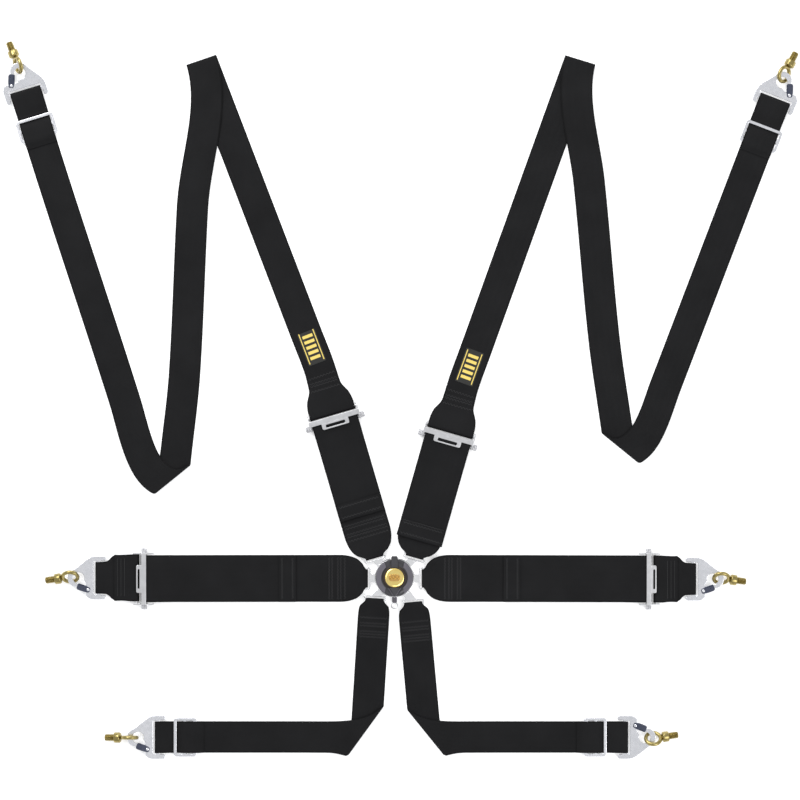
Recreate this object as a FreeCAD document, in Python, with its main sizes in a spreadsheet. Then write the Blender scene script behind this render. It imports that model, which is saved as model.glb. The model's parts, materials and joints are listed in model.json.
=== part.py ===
import FreeCAD, Part
import math
import os
import re
import Sketcher

# A six-point racing harness laid out flat. Millimetres, +Z up, the origin under the centre of the
# rotary buckle's back plate, +Y towards the shoulder straps, +X towards the wearer's left lap strap.
# Every strap has a local frame at each of its fittings: x runs outward along the strap, y to its
# left, z up. Straps lie on the ground plane z = 0.

Vector = FreeCAD.Vector
Placement = FreeCAD.Placement
Rotation = FreeCAD.Rotation
X_AXIS = Vector(1, 0, 0)
Y_AXIS = Vector(0, 1, 0)
Z_AXIS = Vector(0, 0, 1)

doc = FreeCAD.newDocument("RacingHarness")
sheet = doc.addObject("Spreadsheet::Sheet", "Size")

DIMENSIONS = {
    # webbing
    "web_thickness": 1.4,
    "wide_web": 76.0,          # three-inch lap and lower shoulder webbing
    "narrow_web": 51.0,        # two-inch upper shoulder and crotch webbing
    "gathered_web": 29.6,      # webbing gathered into a tongue's slot
    "layer_gap": 0.15,
    "fold_radius": 2.0,
    "hem_length": 26.0,
    # buckle
    "buckle_radius": 32.0,
    "plate_thickness": 2.5,
    "guide_top": 8.0,
    "cover_top": 18.5,
    "cover_roof": 2.0,
    "cavity_radius": 27.0,
    "channel_height": 3.6,
    "channel_width": 14.6,
    "bolt_circle": 22.0,
    "bolt_radius": 3.0,
    "bolt_engagement": 1.5,
    "bolt_lift": 4.0,
    "rotor_turn": 60.0,
    "rivet_radius": 1.25,
    "rivet_circle": 29.5,
    "rivet_gap": 0.05,
    "recess_floor": 0.7,
    "spindle_gap": 0.4,
    "bolt_gap": 0.15,
    "press_gap": 0.03,         # parts that are pressed together
    "notch_start": 27.0,       # the notch for the release eye's stem
    "notch_width": 8.4,
    "notch_height": 3.2,
    "shaft_radius": 5.0,
    "spindle_radius": 7.0,
    "shaft_top": 22.0,
    "shaft_hole_gap": 1.2,
    "flange_radius": 13.4,
    "flange_thickness": 1.0,
    "flange_gap": 0.3,
    "ramp_inner": 9.4,
    "ramp_outer": 12.6,
    "ramp_bottom": 0.8,        # from the guide's top
    "ramp_start": 1.45,
    "lifter_bottom": 1.7,
    "lifter_thickness": 1.5,
    "lifter_gap": 0.7,
    "spring_foot": 17.0,       # the slotted cone spring over the lifter plate
    "spring_top": 15.8,
    "spring_wall": 0.6,
    "spring_height": 4.6,
    "spring_slot": 2.4,
    "spring_base": 1.2,
    "follower_start": 9.8,
    "follower_length": 5.4,
    "follower_width": 1.6,
    "bolt_length": 7.9,
    "knob_radius": 30.5,
    "knob_bottom": 18.9,
    "knob_top": 24.5,
    "knob_recess": 2.6,
    "knob_bore": 3.4,
    "lever_width": 10.5,
    "lever_thickness": 5.2,
    "lever_overhang": 4.5,
    "pointer_radius": 10.5,
    "pointer_middle": 21.6,
    "pointer_thickness": 3.0,
    "cap_radius": 15.5,
    "cap_height": 3.4,
    "release_stem_start": 28.0,
    "release_stem_length": 12.5,
    "release_stem_width": 8.0,
    "release_stem_thickness": 2.8,
    "release_middle": 46.0,
    "release_radius": 4.9,
    "release_wire": 1.1,
    "release_height": 4.1,
    # tongues
    "tongue_thickness": 3.0,
    "tongue_bottom": 2.8,
    "blade_width": 14.0,
    "tongue_hole": 4.1,
    "head_width": 37.0,
    "head_inner": 4.7,
    "head_outer": 9.5,
    "tongue_slot": 4.6,
    "slot_back": 2.2,
    "slot_length": 31.0,
    # tilt adjusters
    "adjuster_bar_radius": 4.2,
    "adjuster_bar_height": 6.2,
    "adjuster_bar_length": 99.0,
    "knob_end_radius": 4.8,
    "cheek_inner": 39.6,
    "cheek_thickness": 2.8,
    "sleeve_bar_radius": 3.4,
    "sleeve_bar_height": 5.4,
    "shoulder_sleeve_bar": 17.0,
    "lap_sleeve_bar": -13.0,
    "bridge_bottom": 12.4,
    "bridge_thickness": 2.2,
    "bridge_back": 9.0,
    "bridge_width": 4.5,
    "tab_width": 45.0,
    "tab_reach": 22.0,
    "tab_thickness": 2.0,
    "tab_window": 6.0,
    "tab_rim": 2.8,
    "lap_ear": 16.0,
    "lap_ear_height": 5.4,
    # snap hooks
    "hook_thickness": 3.5,
    "hook_half_width": 35.0,
    "hook_bar": 6.0,
    "hook_bar_round": 3.1,     # the bar's edges are rounded about the middle of its loop
    "hook_slot": 5.0,
    "hook_slot_width": 54.0,
    "hook_shoulder": 13.0,
    "nose_centre": 35.0,
    "nose_radius": 15.0,
    "eye_centre": 30.0,
    "eye_radius": 11.0,
    "mouth_start": 20.0,
    "mouth_end": 31.5,
    "gate_pivot_x": 17.0,
    "gate_pivot_y": 19.0,
    "gate_angle": 20.0,
    "gate_length": 18.5,
    "gate_width": 9.0,
    "gate_wall": 1.0,
    "gate_gap": 0.3,
    "gate_overlap": 3.5,
    "gate_back": 9.2,
    "gate_rivet": 2.0,
    "gate_rivet_gap": 0.1,
    "hook_bar_height": 5.2,
    "loop_radius": 4.4,
    # eye bolts
    "ring_radius": 12.0,
    "ring_wire": 3.1,
    "ring_bore": 9.2,
    "collar_radius": 8.5,
    "collar_start": 14.4,
    "neck_length": 3.0,
    "stem_start": 22.0,
    "stem_end": 41.0,
    "stem_radius": 5.556,
    # three-bar slides
    "slide_width": 63.0,
    "slide_length": 37.5,
    "slide_thickness": 3.0,
    "slide_bottom": 3.3,
    "slide_slot_width": 53.0,
    "slide_bar": 5.0,
    "slide_slot": 10.5,
}


def fill_sheet():
    """Writes each driving dimension in column B, with its name in column A."""
    for row, (alias, number) in enumerate(DIMENSIONS.items(), start=1):
        sheet.set(f"A{row}", alias)
        sheet.set(f"B{row}", str(number))
        sheet.setAlias(f"B{row}", alias)
    doc.recompute()


fill_sheet()


def size(alias):
    """Reads one driving dimension back from the sheet."""
    return float(sheet.get(alias))


def at(x=0.0, y=0.0, z=0.0, axis=Z_AXIS, angle=0.0):
    return Placement(Vector(x, y, z), Rotation(axis, angle))


def bind(feature, **formulas):
    """Binds properties to formulas in the sheet's aliases."""
    for name, formula in formulas.items():
        feature.setExpression(name, expand(formula))


def expand(formula):
    """Puts the sheet's name before each alias in a formula; only aliases hold an underscore."""
    return re.sub(r"[a-z]+(_[a-z]+)+", lambda word: "Size." + word.group(0), str(formula))


NODES = []


def node(feature, name, placement=None):
    """Names a finished sub-part and puts it in place."""
    feature.Label = name
    if placement is not None:
        feature.Placement = placement
    NODES.append(feature)
    return feature


# ---------------------------------------------------------------- primitives and booleans

def box(length, width, height, placement):
    """A box centred on its own y, with its low x and low z faces at the placement."""
    solid = doc.addObject("Part::Box", "Block")
    bind(solid, Length=length, Width=width, Height=height)
    doc.recompute([solid])
    half = Placement(Vector(0, -solid.Width.Value / 2, 0), Rotation())
    solid.Placement = placement.multiply(half)
    return solid


def cylinder(radius, height, placement):
    solid = doc.addObject("Part::Cylinder", "Round")
    bind(solid, Radius=radius, Height=height)
    solid.Placement = placement
    return solid


def cone(foot, top, height, placement):
    solid = doc.addObject("Part::Cone", "Cone")
    bind(solid, Radius1=foot, Radius2=top, Height=height)
    solid.Placement = placement
    return solid


def cross_bar(radius, length, x, z):
    """A round bar across the strap, centred on it."""
    bar = cylinder(radius, length, Placement())
    doc.recompute([bar])
    bar.Placement = Placement(Vector(x, bar.Height.Value / 2, z), Rotation(X_AXIS, 90))
    return bar


def fuse(*parts):
    joined = doc.addObject("Part::MultiFuse", "Joined")
    joined.Shapes = list(parts)
    return joined


def cut(base, *tools):
    result = doc.addObject("Part::Cut", "Cut")
    result.Base = base
    result.Tool = tools[0] if len(tools) == 1 else fuse(*tools)
    return result


def common(first, second):
    overlap = doc.addObject("Part::MultiCommon", "Shared")
    overlap.Shapes = [first, second]
    return overlap


def compound(*parts):
    group = doc.addObject("Part::Compound", "Group")
    group.Links = list(parts)
    return group


# ---------------------------------------------------------------- sketched bodies

def polar(angle, radius):
    return Vector(radius * math.cos(math.radians(angle)), radius * math.sin(math.radians(angle)), 0)


def new_sketch(body, role="XY_Plane", lift=0.0):
    sketch = body.newObject("Sketcher::SketchObject", "Outline")
    plane = [item for item in body.Origin.OriginFeatures if item.Role == role][0]
    sketch.AttachmentSupport = [(plane, "")]
    sketch.MapMode = "FlatFace"
    sketch.AttachmentOffset = at(z=lift)
    return sketch


def pin(sketch, item, point, now, x, y):
    """Ties one point of an outline to bound distances from the sketch's origin."""
    for kind, start, formula in (("DistanceX", now.x, x), ("DistanceY", now.y, y)):
        rule = sketch.addConstraint(Sketcher.Constraint(kind, -1, 1, item, point, start))
        sketch.setExpression(f"Constraints[{rule}]", expand(formula))


def polygon(sketch, corners):
    """Draws a closed outline, first as a regular one, and binds its corners to pairs of formulas."""
    first = sketch.GeometryCount
    count = len(corners)
    points = [polar(360 * index / count, 10) for index in range(count)]
    for index, point in enumerate(points):
        sketch.addGeometry(Part.LineSegment(point, points[(index + 1) % count]), False)
    for index in range(count):
        follower = first + (index + 1) % count
        sketch.addConstraint(Sketcher.Constraint("Coincident", first + index, 2, follower, 1))
    for index, (x, y) in enumerate(corners):
        pin(sketch, first + index, 1, points[index], x, y)


def circle(sketch, radius, x="0", y="0"):
    index = sketch.addGeometry(Part.Circle(Vector(), Z_AXIS, 10.0), False)
    rule = sketch.addConstraint(Sketcher.Constraint("Radius", index, 10.0))
    sketch.setExpression(f"Constraints[{rule}]", expand(radius))
    pin(sketch, index, 3, Vector(), x, y)


def rectangle(sketch, low_x, high_x, half_width):
    polygon(sketch, [(low_x, f"-({half_width})"), (high_x, f"-({half_width})"),
                     (high_x, half_width), (low_x, half_width)])


def pad(body, sketch, length, midplane=False):
    feature = body.newObject("PartDesign::Pad", "Pad")
    feature.Profile = sketch
    bind(feature, Length=length)
    feature.Midplane = midplane
    doc.recompute()
    return feature


def pocket(body, sketch, through=True, depth="1", upward=False):
    """Cuts a sketched outline: right through both ways, or to a depth."""
    feature = body.newObject("PartDesign::Pocket", "Pocket")
    feature.Profile = sketch
    if through:
        feature.Type = "ThroughAll"
        feature.Midplane = True
    else:
        bind(feature, Length=depth)
        feature.Reversed = upward
    before = body.Shape.Volume
    doc.recompute()
    if body.Shape.Volume >= before - 1e-6:
        raise RuntimeError("a pocket in " + body.Label + " removes nothing")
    return feature


def new_body(name):
    body = doc.addObject("PartDesign::Body", "Body")
    body.Label = name
    return body


# ---------------------------------------------------------------- where everything lies

def heading_of(vector):
    return math.degrees(math.atan2(vector.y, vector.x))


def frame_at(point, heading):
    return Placement(Vector(point[0], point[1], 0), Rotation(Z_AXIS, heading))


# Tongue heads: the middle of each tongue's webbing slot.
HEADS = {
    "left_shoulder": (-31.5, 30.5),
    "right_shoulder": (32.0, 31.5),
    "left_lap": (-43.0, -2.0),
    "right_lap": (44.0, -2.0),
    "left_crotch": (-32.0, -34.0),
    "right_crotch": (30.0, -40.0),
}
# The middle of each crotch strap's fold.
CROTCH_FOLDS = {"left_crotch": (-45.0, -243.0), "right_crotch": (49.0, -246.0)}
# Adjuster bars, on the straps that have one.
ADJUSTERS = {
    "left_shoulder": (-96.0, 251.0),
    "right_shoulder": (86.0, 222.0),
    "left_lap": (-405.0, -2.5),
    "right_lap": (411.0, -3.0),
}
# Snap hooks: the middle of the bar that the webbing loops over, and the way the strap runs there.
HOOKS = {
    "left_shoulder": ((-596.5, 784.5), 107.0),
    "right_shoulder": ((615.0, 770.5), 69.0),
    "left_lap": ((-479.0, -1.0), 180.0),
    "right_lap": ((483.0, -3.0), 0.0),
    "left_crotch": ((-383.0, -259.0), 180.0),
    "right_crotch": ((373.0, -259.0), 0.0),
}
# How far each eye bolt's ring leans over from upright, and the side its hook's gate is on.
RING_LEAN = {
    "left_shoulder": 25.0,
    "right_shoulder": -42.0,
    "left_lap": 42.0,
    "right_lap": -42.0,
    "left_crotch": 4.0,
    "right_crotch": 46.0,
}
GATE_SIDE = {
    "left_shoulder": 1,
    "right_shoulder": -1,
    "left_lap": 1,
    "right_lap": -1,
    "left_crotch": 1,
    "right_crotch": 1,
}
# How far back along the strap each slide's front bar sits from the hook's bar, and its travel.
SLIDES = {
    "left_shoulder": (43.5, 18.0),
    "right_shoulder": (45.0, 18.0),
    "left_crotch": (28.0, 8.0),
    "right_crotch": (32.0, 8.0),
}
STRAPS = list(HEADS)
RIVET_ANGLES = (75.0, 105.0, 159.5, 204.5, 251.0, 289.0, 332.5, 20.5)


def head_heading(name):
    """The way a strap leaves its tongue."""
    goal = ADJUSTERS[name] if name in ADJUSTERS else CROTCH_FOLDS[name]
    return heading_of(Vector(*goal, 0) - Vector(*HEADS[name], 0))


def bolt_angle(name):
    """The tongue blades point at the buckle's centre, so the bolts lie on the heads' radii."""
    return heading_of(Vector(*HEADS[name], 0))


# ---------------------------------------------------------------- buckle

def rivet_circles(outline):
    for angle in RIVET_ANGLES:
        turn = f"cos({angle} deg)", f"sin({angle} deg)"
        circle(outline, "rivet_radius + rivet_gap", f"rivet_circle * {turn[0]}", f"rivet_circle * {turn[1]}")


def back_plate():
    """The disc that lies against the wearer, with a blind recess for the spindle's foot."""
    body = new_body("buckle_back_plate")
    outline = new_sketch(body)
    circle(outline, "buckle_radius")
    rivet_circles(outline)
    pad(body, outline, "plate_thickness")
    recess = new_sketch(body, lift=size("recess_floor"))
    circle(recess, "shaft_radius + rivet_gap")
    pocket(body, recess, through=False, depth="plate_thickness", upward=True)
    node(body, "buckle_back_plate")


def tongue_guide():
    """The spacer whose channels the six tongues slide in, with bores for the bolts above them."""
    low = size("plate_thickness")
    height = "guide_top - plate_thickness"
    tools = [cylinder("spindle_radius + spindle_gap", height, at(z=low))]
    for name in STRAPS:
        turn = at(z=low, angle=bolt_angle(name))
        reach = size("bolt_circle")
        tools.append(box("buckle_radius - bolt_circle + 2", "channel_width", "channel_height",
                         turn.multiply(at(x=reach))))
        tools.append(cylinder("channel_width / 2", "channel_height", turn.multiply(at(x=reach))))
        tools.append(box("bolt_circle - spindle_radius", "channel_width / 2", "channel_height",
                         turn.multiply(at(x=size("spindle_radius")))))
        tools.append(cylinder("bolt_radius + bolt_gap", height, turn.multiply(at(x=reach))))
    for angle in RIVET_ANGLES:
        tools.append(cylinder("rivet_radius + rivet_gap", height,
                              at(z=low, angle=angle).multiply(at(x=size("rivet_circle")))))
    tools.append(box("buckle_radius - notch_start + 2", "notch_width", "notch_height",
                     at(z=low, angle=270).multiply(at(x=size("notch_start")))))
    disc = cylinder("buckle_radius", height, at(z=low))
    node(cut(disc, *tools), "tongue_guide")


def cover():
    body = new_body("buckle_cover")
    outline = new_sketch(body, lift=size("guide_top"))
    circle(outline, "buckle_radius")
    rivet_circles(outline)
    pad(body, outline, "cover_top - guide_top")
    hollow = new_sketch(body, lift=size("guide_top"))
    circle(hollow, "cavity_radius")
    pocket(body, hollow, through=False, depth="cover_top - guide_top - cover_roof", upward=True)
    shaft_hole = new_sketch(body, lift=size("guide_top"))
    circle(shaft_hole, "shaft_radius + shaft_hole_gap")
    pocket(body, shaft_hole)
    node(body, "buckle_cover")


def rivets():
    pins = []
    for angle in RIVET_ANGLES:
        spot = at(z=0.1, angle=angle).multiply(at(x=size("rivet_circle")))
        pins.append(cylinder("rivet_radius", "cover_top - 0.2", spot))
    node(compound(*pins), "cover_rivets")


def spindle():
    """A round shaft from the back plate's recess up into the knob, thicker inside the guide."""
    foot = size("recess_floor") + 0.1
    shaft = cylinder("shaft_radius", f"shaft_top - {foot}", at(z=foot))
    drum = cylinder("spindle_radius", "guide_top - plate_thickness - flange_gap",
                    at(z=size("plate_thickness") + size("flange_gap") / 2))
    node(fuse(shaft, drum), "cam_spindle")


def ramp_sections():
    """One ramp of the lift cam: it climbs by the bolts' lift over the rotor's turn."""
    turn = size("rotor_turn")
    base = size("guide_top") + size("ramp_bottom")
    start = size("guide_top") + size("ramp_start")
    steps = 6
    sections = []
    for step in range(steps + 2):
        rise = min(step, steps) / steps * size("bolt_lift")
        angle = -step * turn / steps
        low_in = polar(angle, size("ramp_inner")) + Vector(0, 0, base)
        low_out = polar(angle, size("ramp_outer")) + Vector(0, 0, base)
        top = Vector(0, 0, start - base + rise)
        sections.append(Part.makePolygon([low_in, low_out, low_out + top, low_in + top, low_in]))
    return sections


def lift_cam():
    """A ring on the spindle with three helical ramps."""
    low = Vector(0, 0, size("guide_top") + size("flange_gap"))
    ring = Part.makeCylinder(size("flange_radius"), size("flange_thickness"), low)
    bore = Part.makeCylinder(size("shaft_radius") + size("press_gap"), 2 * size("flange_thickness"), low)
    ramp = Part.makeLoft(ramp_sections(), True, True)
    ramps = []
    for turn in (0, 120, 240):
        copy = ramp.copy()
        copy.rotate(Vector(), Z_AXIS, turn)
        ramps.append(copy)
    feature = doc.addObject("Part::Feature", "LiftCam")
    feature.Shape = ring.fuse(ramps).cut(bore).removeSplitter()
    node(feature, "lift_cam")


def lifter_plate():
    """The plate that carries the bolts, with three followers on the cam's ramps."""
    low = size("guide_top") + size("lifter_bottom")
    thick = "lifter_thickness"
    body = cylinder("cavity_radius - lifter_gap", thick, at(z=low))
    holes = [cylinder("flange_radius + lifter_gap", thick, at(z=low))]
    for name in STRAPS:
        spot = at(z=low, angle=bolt_angle(name)).multiply(at(x=size("bolt_circle")))
        holes.append(cylinder("bolt_radius + press_gap", thick, spot))
    plate = cut(body, *holes)
    followers = []
    for turn in (5, 125, 245):
        spot = at(z=low, angle=turn).multiply(at(x=size("follower_start")))
        followers.append(box("follower_length", "follower_width", thick, spot))
    node(fuse(plate, *followers), "lifter_plate")


def latch_bolts():
    """Six round bolts that stand in the tongues' holes."""
    tongue_top = size("tongue_bottom") + size("tongue_thickness")
    low = tongue_top - size("bolt_engagement")
    pins = []
    for name in STRAPS:
        spot = at(z=low, angle=bolt_angle(name)).multiply(at(x=size("bolt_circle")))
        pins.append(cylinder("bolt_radius", "bolt_length", spot))
    node(compound(*pins), "latch_bolts")


def helix_spring(radius, height, pitch, wire):
    """A round-wire coil standing on z = 0."""
    path = Part.makeHelix(pitch, height, radius)
    edge = path.Edges[0]
    start = edge.valueAt(edge.FirstParameter)
    tangent = edge.tangentAt(edge.FirstParameter)
    profile = Part.Wire(Part.makeCircle(wire, start, tangent))
    return Part.Wire(path.Edges).makePipeShell([profile], True, True)


def lifter_spring():
    """A cone of spring steel with slots from its top edge, standing on the lifter plate."""
    low = size("guide_top") + size("lifter_bottom") + size("lifter_thickness") + 0.25
    outside = cone("spring_foot", "spring_top", "spring_height", at(z=low))
    inside = cone("spring_foot - spring_wall", "spring_top - spring_wall", "spring_height", at(z=low))
    slots = []
    for index in range(9):
        angle = 40 * index
        start = polar(angle, 14)
        slots.append(box("4", "spring_slot", "spring_height",
                         at(x=start.x, y=start.y, z=low + size("spring_base"), angle=angle)))
    node(cut(outside, inside, *slots), "lifter_spring")


def springs():
    """The rotor's return coil and the ejectors."""
    coil = doc.addObject("Part::Feature", "ReturnSpring")
    coil.Shape = helix_spring(radius=8.0, height=1.6, pitch=0.8, wire=0.35)
    node(coil, "rotor_return_spring", at(z=size("cover_top") + 0.6))
    ejectors = []
    for name in STRAPS:
        small = helix_spring(radius=1.2, height=5.4, pitch=0.9, wire=0.25)
        small.rotate(Vector(), Y_AXIS, 90)
        middle = size("tongue_bottom") + size("tongue_thickness") / 2
        small.translate(Vector(size("spindle_radius") + 1.3, 0, middle))
        small.rotate(Vector(), Z_AXIS, bolt_angle(name))
        ejectors.append(small)
    group = doc.addObject("Part::Feature", "Ejectors")
    group.Shape = Part.makeCompound(ejectors)
    node(group, "ejector_springs")


def knob():
    """The rotor's knob, with its lever tab at the top and its pointer at the bottom."""
    low = size("knob_bottom")
    disc = cylinder("knob_radius", "knob_top - knob_bottom", at(z=low))
    hollow = cylinder("cap_radius + 0.5", "knob_recess", at(z=low))
    hole = cylinder("shaft_radius + press_gap", "knob_bore", at(z=low))
    lever = box("knob_radius + lever_overhang - cap_radius - 1", "lever_width", "lever_thickness",
                at(z=size("knob_top") - 3, angle=90).multiply(at(x=size("cap_radius") + 1)))
    pointer = doc.addObject("Part::Prism", "Pointer")
    pointer.Polygon = 3
    bind(pointer, Circumradius="pointer_radius", Height="pointer_thickness")
    pointer.Placement = at(y=-size("pointer_middle"), z=size("knob_top") - 1, angle=-90)
    node(fuse(cut(disc, hollow, hole), lever, pointer), "rotor_knob")


def cap():
    body = new_body("knob_cap")
    outline = new_sketch(body, lift=size("knob_top"))
    circle(outline, "cap_radius")
    disc = pad(body, outline, "cap_height")
    edges = [f"Edge{index + 1}" for index, edge in enumerate(disc.Shape.Edges)
             if edge.BoundBox.ZMin > size("knob_top") + 1]
    rounding = body.newObject("PartDesign::Fillet", "Rounding")
    rounding.Base = (disc, edges)
    bind(rounding, Radius="cap_height * 0.5")
    doc.recompute()
    node(body, "knob_cap")


def release_eye():
    """A small wire eye on a stem between the crotch tongues."""
    low = size("release_height") - size("release_stem_thickness") / 2
    stem = box("release_stem_length", "release_stem_width", "release_stem_thickness",
               at(z=low, angle=270).multiply(at(x=size("release_stem_start"))))
    ring = doc.addObject("Part::Torus", "EyeRing")
    bind(ring, Radius1="release_radius", Radius2="release_wire")
    ring.Placement = at(y=-size("release_middle"), z=size("release_height"))
    node(fuse(stem, ring), "release_eye")


# ---------------------------------------------------------------- tongues

def tongue(name):
    """A steel tongue: a blade on the buckle's radius, and a slotted head square to its strap."""
    low = size("tongue_bottom")
    blade_frame = at(z=low, angle=bolt_angle(name))
    head_frame = frame_at(HEADS[name], head_heading(name)).multiply(at(z=low))
    distance = Vector(*HEADS[name], 0).Length
    blade = box(str(distance - size("bolt_circle")), "blade_width", "tongue_thickness",
                blade_frame.multiply(at(x=size("bolt_circle"))))
    nose = cylinder("blade_width / 2", "tongue_thickness", blade_frame.multiply(at(x=size("bolt_circle"))))
    head = box("head_inner + head_outer", "head_width", "tongue_thickness",
               head_frame.multiply(at(x=-size("head_inner"))))
    slot = box("tongue_slot", "slot_length", "tongue_thickness",
               head_frame.multiply(at(x=-size("slot_back"))))
    hole = cylinder("tongue_hole", "tongue_thickness", blade_frame.multiply(at(x=size("bolt_circle"))))
    node(cut(fuse(blade, nose, head), slot, hole), name + "_tongue")


# ---------------------------------------------------------------- webbing

class Webbing:
    """A strap built from cross lines. Each has a centre, an across direction and a half width."""

    def __init__(self):
        self.lines = []

    def add(self, centre, across, half_width):
        """Adds a cross line, turned end for end where it would twist the strap."""
        across = Vector(across).normalize()
        if self.lines and self.lines[-1][1].dot(across) < 0:
            across = across.negative()
        self.lines.append((Vector(centre), across, half_width))

    def flat(self, x, y, z, heading, half_width):
        """A cross line square to the strap's heading."""
        self.add(Vector(x, y, z), polar(heading + 90, 1), half_width)

    def loop(self, frame, bar_x, bar_z, radius, half_width, first, last, steps):
        """Goes round a cross bar in a strap frame; angles run from +x through +z."""
        for step in range(steps + 1):
            angle = math.radians(first + (last - first) * step / steps)
            local = Vector(bar_x + radius * math.cos(angle), 0, bar_z + radius * math.sin(angle))
            self.add(frame.multVec(local), frame.Rotation.multVec(Y_AXIS), half_width)

    def local(self, frame, x, z, half_width):
        """A cross line at a place in a strap frame."""
        self.add(frame.multVec(Vector(x, 0, z)), frame.Rotation.multVec(Y_AXIS), half_width)

    def skewed(self, centre, heading, skew, half_width):
        """A cross line that leans along the strap by the skew, as near a fold."""
        across = polar(heading + 90, 1) + polar(heading, skew)
        self.add(centre, across, half_width * across.Length)

    def fold(self, centre, z, heading, crease, half_width):
        """Turns the strap over across a crease line; the part after it lies on top."""
        radius = size("fold_radius")
        steps = 6
        travel = polar(heading, 1)
        along = polar(crease, 1)
        if along.dot(polar(heading + 90, 1)) < 0:
            along = along.negative()
        skew = along.dot(travel) / along.dot(polar(heading + 90, 1))
        lead = half_width * abs(skew) + 8
        start = Vector(centre[0], centre[1], z)
        self.flat(start.x - lead * travel.x, start.y - lead * travel.y, z, heading, half_width)
        out = (travel - along * along.dot(travel)).normalize()
        stretch = math.hypot(1, skew)
        for step in range(steps + 1):
            angle = math.pi * step / steps
            middle = start + along * (radius * angle * skew) + out * (radius * math.sin(angle))
            middle = middle + Vector(0, 0, radius * (1 - math.cos(angle)))
            self.add(middle, along, half_width * stretch)
        return middle, 2 * crease - heading

    def bend(self, start, start_heading, end, end_heading, half_width, height):
        """Leaves a fold and turns in its own plane, along a Bezier curve between two headings."""
        steps = 10
        reach = math.hypot(end[0] - start.x, end[1] - start.y) / 3
        a = Vector(start.x, start.y, 0)
        d = Vector(end[0], end[1], 0)
        b = a + polar(start_heading, reach)
        c = d - polar(end_heading, reach)
        crease = self.lines[-1][1]
        skew = crease.dot(polar(start_heading, 1)) / crease.dot(polar(start_heading + 90, 1))
        for step in range(1, steps + 1):
            t = step / steps
            s = 1 - t
            point = a * s ** 3 + b * (3 * s * s * t) + c * (3 * s * t * t) + d * t ** 3
            slope = (b - a) * (s * s) + (c - b) * (2 * s * t) + (d - c) * (t * t)
            point = point + Vector(0, 0, start.z + t * (height - start.z))
            self.skewed(point, heading_of(slope), skew * s, half_width)

    def solid(self):
        """Closes the strap with its thickness into one solid of flat faces."""
        half_thickness = size("web_thickness") / 2
        count = len(self.lines)
        rings = []
        for index, (centre, across, half_width) in enumerate(self.lines):
            before = self.lines[max(index - 1, 0)][0]
            after = self.lines[min(index + 1, count - 1)][0]
            normal = (after - before).cross(across)
            normal.normalize()
            left = centre + across * half_width
            right = centre - across * half_width
            up = normal * half_thickness
            rings.append([left + up, right + up, right - up, left - up])
        faces = [quad(list(reversed(rings[0]))), quad(rings[-1])]
        for first, second in zip(rings, rings[1:]):
            for side in range(4):
                other = (side + 1) % 4
                faces.append(quad([first[side], first[other], second[other], second[side]]))
        pieces = []
        for group in faces:
            pieces.extend(group)
        shell = Part.makeShell(pieces)
        shell.sewShape()
        solid = Part.makeSolid(shell)
        if solid.Volume < 0:
            solid.reverse()
        return solid


def quad(points):
    """One flat face through four points, or two triangles where they are not in one plane."""
    a, b, c, d = points
    normal = (b - a).cross(c - a)
    height = abs((d - a).dot(normal)) / max(normal.Length, 1e-9)
    if height < 1e-6:
        return [Part.Face(Part.makePolygon([a, b, c, d, a]))]
    return [Part.Face(Part.makePolygon([a, b, c, a])), Part.Face(Part.makePolygon([a, c, d, a]))]


def web_node(name, *straps):
    feature = doc.addObject("Part::Feature", "Webbing")
    solids = [strap.solid() for strap in straps]
    feature.Shape = solids[0] if len(solids) == 1 else Part.makeCompound(solids)
    return node(feature, name)


def layer(number):
    """Height of the middle of a webbing layer, counted from the ground up."""
    return size("web_thickness") * (number - 0.5) + size("layer_gap") * number


def tongue_loop(web, name, half_width):
    """The sewn end: up from a short lower layer, round the tongue's bar, to the upper layer."""
    frame = frame_at(HEADS[name], head_heading(name))
    gathered = size("gathered_web") / 2
    flare = 34.0 if half_width > 30 else 24.0
    web.local(frame, 68.0, layer(1), half_width)
    web.local(frame, flare + 10, layer(1), half_width)
    web.local(frame, flare, layer(1) + 0.05, half_width - 1.5)
    web.local(frame, flare * 0.6, 1.5, half_width - 0.32 * (half_width - gathered))
    web.local(frame, 10.0, 1.9, gathered + 0.22 * (half_width - gathered))
    web.loop(frame, 3.1, 4.3, 2.4, gathered, 270, 90, 8)
    web.local(frame, 10.0, 6.7, gathered + 0.22 * (half_width - gathered))
    web.local(frame, flare * 0.6, 5.6, half_width - 0.32 * (half_width - gathered))
    web.local(frame, flare, 4.0, half_width - 1.5)
    web.local(frame, flare + 10, 3.0, half_width)
    web.local(frame, 72.0, layer(2) + 0.2, half_width)


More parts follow.
